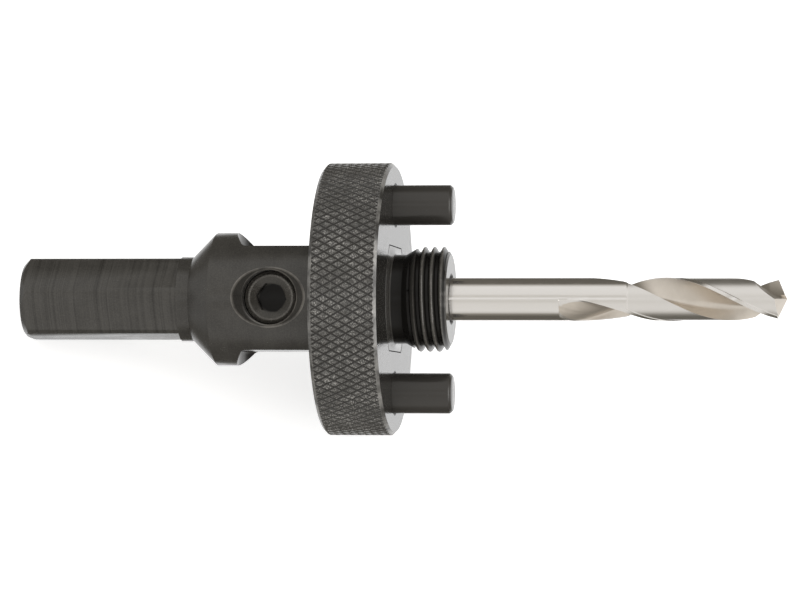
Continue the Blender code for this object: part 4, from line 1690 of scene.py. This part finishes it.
@dataclass
class Detent(Assembly):
    """Ball on a coil spring in the body's blind hole, which drags on the collar's bore."""

    x: float = -0.0078
    ball_d: float = 0.0030
    ball_centre_r: float = 0.00848
    hole_floor_r: float = 0.0047
    wire_d: float = 0.0004
    turns: float = 4.5
    gap: float = 0.00015
    ball_finish: SmallSteel = SmallSteel("bearing_steel", (0.62, 0.62, 0.61), 0.12)
    spring_finish: SmallSteel = SmallSteel("spring_steel", (0.42, 0.41, 0.40), 0.28)

    def build(self) -> list[bpy.types.Object]:
        """Make the ball and the spring.

        Returns:
            The finished pieces.
        """
        ball_shape = bmesh.new()
        bmesh.ops.create_icosphere(ball_shape, subdivisions=4, radius=self.ball_d / 2)
        ball = solid("detent_ball_fine", ball_shape, Matrix.Translation((self.x, 0.0, -self.ball_centre_r)))
        wire_r = self.wire_d / 2
        coil_r = self.ball_d / 2 - self.gap - wire_r
        low = self.hole_floor_r + self.gap + wire_r
        touch = math.sqrt((self.ball_d / 2 + wire_r + self.gap) ** 2 - coil_r ** 2)
        pitch = (self.ball_centre_r - touch - low) / self.turns
        sides = 14
        section = []
        for i in range(sides):
            angle = math.tau * i / sides
            section.append((low + wire_r * math.sin(angle), coil_r + wire_r * math.cos(angle)))
        spring = solid("detent_spring_fine", coiled(section, 0.0, pitch, self.turns, 36),
                       radial_place(self.x, 0.0, -1.0))
        ball_material = self.ball_finish.build(self.rest, self.patterns)
        spring_material = self.spring_finish.build(self.rest, self.patterns)
        return [self.dress(ball, "arbor", "bearing_steel", ball_material, "detent_ball"),
                self.dress(spring, "arbor", "spring_steel", spring_material, "detent_spring")]


@dataclass
class PhotoCamera:
    """Long lens that looks across the axis, a little from the drill's end."""

    image_width: float = 800.0
    focal_px: float = 4000.0
    sensor_mm: float = 36.0
    yaw: float = 0.14
    roll: float = math.radians(2.0)
    distance: float = 0.5935
    aim_x: float = 0.00072
    lift: float = 0.000116

    def axes(self, rest: RestFrame) -> tuple[Vector, Vector, Vector]:
        """Directions to the image's right, to its top, and back to the viewer.

        Args:
            rest: Where the arbor lies.

        Returns:
            The three directions.
        """
        toward = rest.direction(0.0, -math.sin(self.roll), math.cos(self.roll))
        top = rest.direction(0.0, math.cos(self.roll), math.sin(self.roll))
        along = rest.direction(1.0, 0.0, 0.0)
        right = math.cos(self.yaw) * along - math.sin(self.yaw) * toward
        back = math.sin(self.yaw) * along + math.cos(self.yaw) * toward
        return right, top, back

    def build(self, rest: RestFrame) -> None:
        """Make the camera and use it.

        Args:
            rest: Where the arbor lies.
        """
        right, top, back = self.axes(rest)
        data = bpy.data.cameras.new("photo_camera")
        data.sensor_width = self.sensor_mm
        data.lens = self.focal_px * self.sensor_mm / self.image_width
        data.clip_start = 0.01
        camera = bpy.data.objects.new("photo_camera", data)
        bpy.context.scene.collection.objects.link(camera)
        aim = rest.matrix @ Vector((self.aim_x, 0.0, 0.0))
        place = aim + back * self.distance - top * self.lift
        camera.matrix_world = Matrix.Translation(place) @ Matrix((right, top, back)).transposed().to_4x4()
        bpy.context.scene.camera = camera


@dataclass
class Studio:
    """Pale floor and a soft tent of light whose strips run along the arbor.

    Attributes:
        floor_size: Width of the floor.
        strips: Light by angle round the axis, in degrees up from the line to the viewer.
        warmth: Share by which a dark strip is warmer than a white one.
        end_light: Light that comes along the axis.
        end_span: Shares of a direction along the axis between which that light comes in.
        box_power: Power of the soft box off the drill's end, in watts.
        box_distance: How far the soft box stands from the body's front face.
        box_size: Width and height of the soft box.
        floor_colour: Colour of the floor.
        floor_roughness: Roughness of the floor.
        floor_fill: Share of the floor's white that the arbor's shadow can't darken.
    """

    floor_size: float = 6.0
    strips: tuple[Point, ...] = (
        (-180.0, 1.15), (-164.0, 1.10), (-154.0, 1.10), (-147.0, 0.12), (-104.0, 0.12), (-86.0, 0.26),
        (-76.0, 0.70), (-66.0, 0.84), (-24.0, 0.80), (-14.0, 0.72), (-6.0, 0.66), (-1.0, 0.90),
        (4.0, 1.00), (9.0, 0.75), (16.0, 0.62), (24.0, 0.85), (71.0, 0.90), (80.0, 0.50), (90.0, 0.14),
        (146.0, 0.12), (158.0, 1.10), (172.0, 1.15), (180.0, 1.15))
    warmth: float = 0.16
    end_light: float = 0.55
    end_span: Point = (0.80, 0.97)
    box_power: float = 0.7
    box_distance: float = 0.45
    box_size: Point = (0.10, 0.55)
    floor_colour: Colour = (0.86, 0.86, 0.86)
    floor_roughness: float = 0.9
    floor_fill: float = 0.72

    def light_tent(self, rest: RestFrame, camera: PhotoCamera) -> None:
        """Make the world: white to the eye, and strips of light to everything else.

        Args:
            rest: Where the arbor lies.
            camera: The camera, whose line of sight is the middle of the strips.
        """
        world = bpy.data.worlds.new("light_tent")
        world.use_nodes = True
        bpy.context.scene.world = world
        graph = Graph(world.node_tree)
        along = rest.direction(1.0, 0.0, 0.0)
        toward = rest.direction(0.0, -math.sin(camera.roll), math.cos(camera.roll))
        top = rest.direction(0.0, math.cos(camera.roll), math.sin(camera.roll))
        way = graph.add("TexCoord").outputs["Generated"]

        def share(axis: Vector) -> bpy.types.NodeSocket:
            """How far the direction points along an axis."""
            return graph.add("VectorMath", {0: way, 1: axis}, operation="DOT_PRODUCT").outputs["Value"]

        angle = graph.math("ARCTAN2", share(top), share(toward))
        place = graph.math("MULTIPLY_ADD", angle, 1 / math.tau, 0.5)
        ramp = graph.add("ValToRGB", {0: place})
        stops = ramp.color_ramp.elements
        while len(stops) < len(self.strips):
            stops.new(0.5)
        for stop, (degrees, light) in zip(stops, self.strips):
            stop.position = degrees / 360.0 + 0.5
            warmth = self.warmth * max(0.0, 1.0 - light)
            stop.color = (light * (1.0 + warmth / 2), light, light * (1.0 - warmth), 1.0)
        end = graph.step(graph.math("ABSOLUTE", share(along)), *self.end_span)
        level = graph.blend(end, ramp.outputs[0], (self.end_light,) * 3)
        camera_ray = graph.add("LightPath").outputs["Is Camera Ray"]
        colour = graph.blend(camera_ray, level, (1.0, 1.0, 1.0))
        background = world.node_tree.nodes["Background"]
        graph.feed(background.inputs["Color"], colour)

    def end_box(self, rest: RestFrame) -> None:
        """Stand a soft box off the drill's end, for the light on chamfers, crests and edges.

        Args:
            rest: Where the arbor lies.
        """
        data = bpy.data.lights.new("end_box", "AREA")
        data.shape = "RECTANGLE"
        data.size, data.size_y = self.box_size
        data.energy = self.box_power
        box = bpy.data.objects.new("end_box", data)
        bpy.context.scene.collection.objects.link(box)
        back = rest.direction(0.99, 0.0, 0.14).normalized()
        across = rest.direction(0.0, 1.0, 0.0).cross(back).normalized()
        place = rest.matrix @ Vector() + back * self.box_distance
        turn = Matrix((across, back.cross(across), back)).transposed()
        box.matrix_world = Matrix.Translation(place) @ turn.to_4x4()

    def floor(self) -> None:
        """Pale floor that keeps the arbor's shadow, lifted towards white by a glow that camera and
        transmission rays see.
        """
        shape = bmesh.new()
        bmesh.ops.create_grid(shape, x_segments=1, y_segments=1, size=self.floor_size / 2)
        mesh = bpy.data.meshes.new("floor")
        shape.to_mesh(mesh)
        shape.free()
        floor = bpy.data.objects.new("floor", mesh)
        bpy.context.scene.collection.objects.link(floor)
        floor.visible_glossy = False
        material = bpy.data.materials.new("pale_floor")
        material.use_nodes = True
        graph = Graph(material.node_tree)
        shader = material.node_tree.nodes["Principled BSDF"]
        shader.inputs["Base Color"].default_value = (*self.floor_colour, 1.0)
        shader.inputs["Roughness"].default_value = self.floor_roughness
        paths = graph.add("LightPath").outputs
        seen = graph.math("MAXIMUM", paths["Is Camera Ray"], paths["Is Transmission Ray"])
        glow = graph.math("MULTIPLY", seen, self.floor_fill)
        shader.inputs["Emission Color"].default_value = (1.0, 1.0, 1.0, 1.0)
        graph.feed(shader.inputs["Emission Strength"], glow)
        mesh.materials.append(material)

    def build(self, rest: RestFrame, camera: PhotoCamera) -> None:
        """Make the light and the floor.

        Args:
            rest: Where the arbor lies.
            camera: The camera.
        """
        self.light_tent(rest, camera)
        self.end_box(rest)
        self.floor()
        bpy.context.scene.view_settings.view_transform = "Standard"


def main() -> None:
    """Build the studio and every piece in order, and report each one."""
    logging.basicConfig(level=logging.INFO, format="%(name)s: %(message)s")
    rest = RestFrame()
    patterns = SharedPatterns()
    camera = PhotoCamera()
    camera.build(rest)
    Studio().build(rest, camera)
    for assembly in (ArborBody, DriveCollar, PilotDrill, SetScrew, Detent):
        pieces = assembly(rest, patterns).build()
        log.info("%s: %d made", assembly.__name__, len(pieces))


if __name__ == "__main__":
    main()
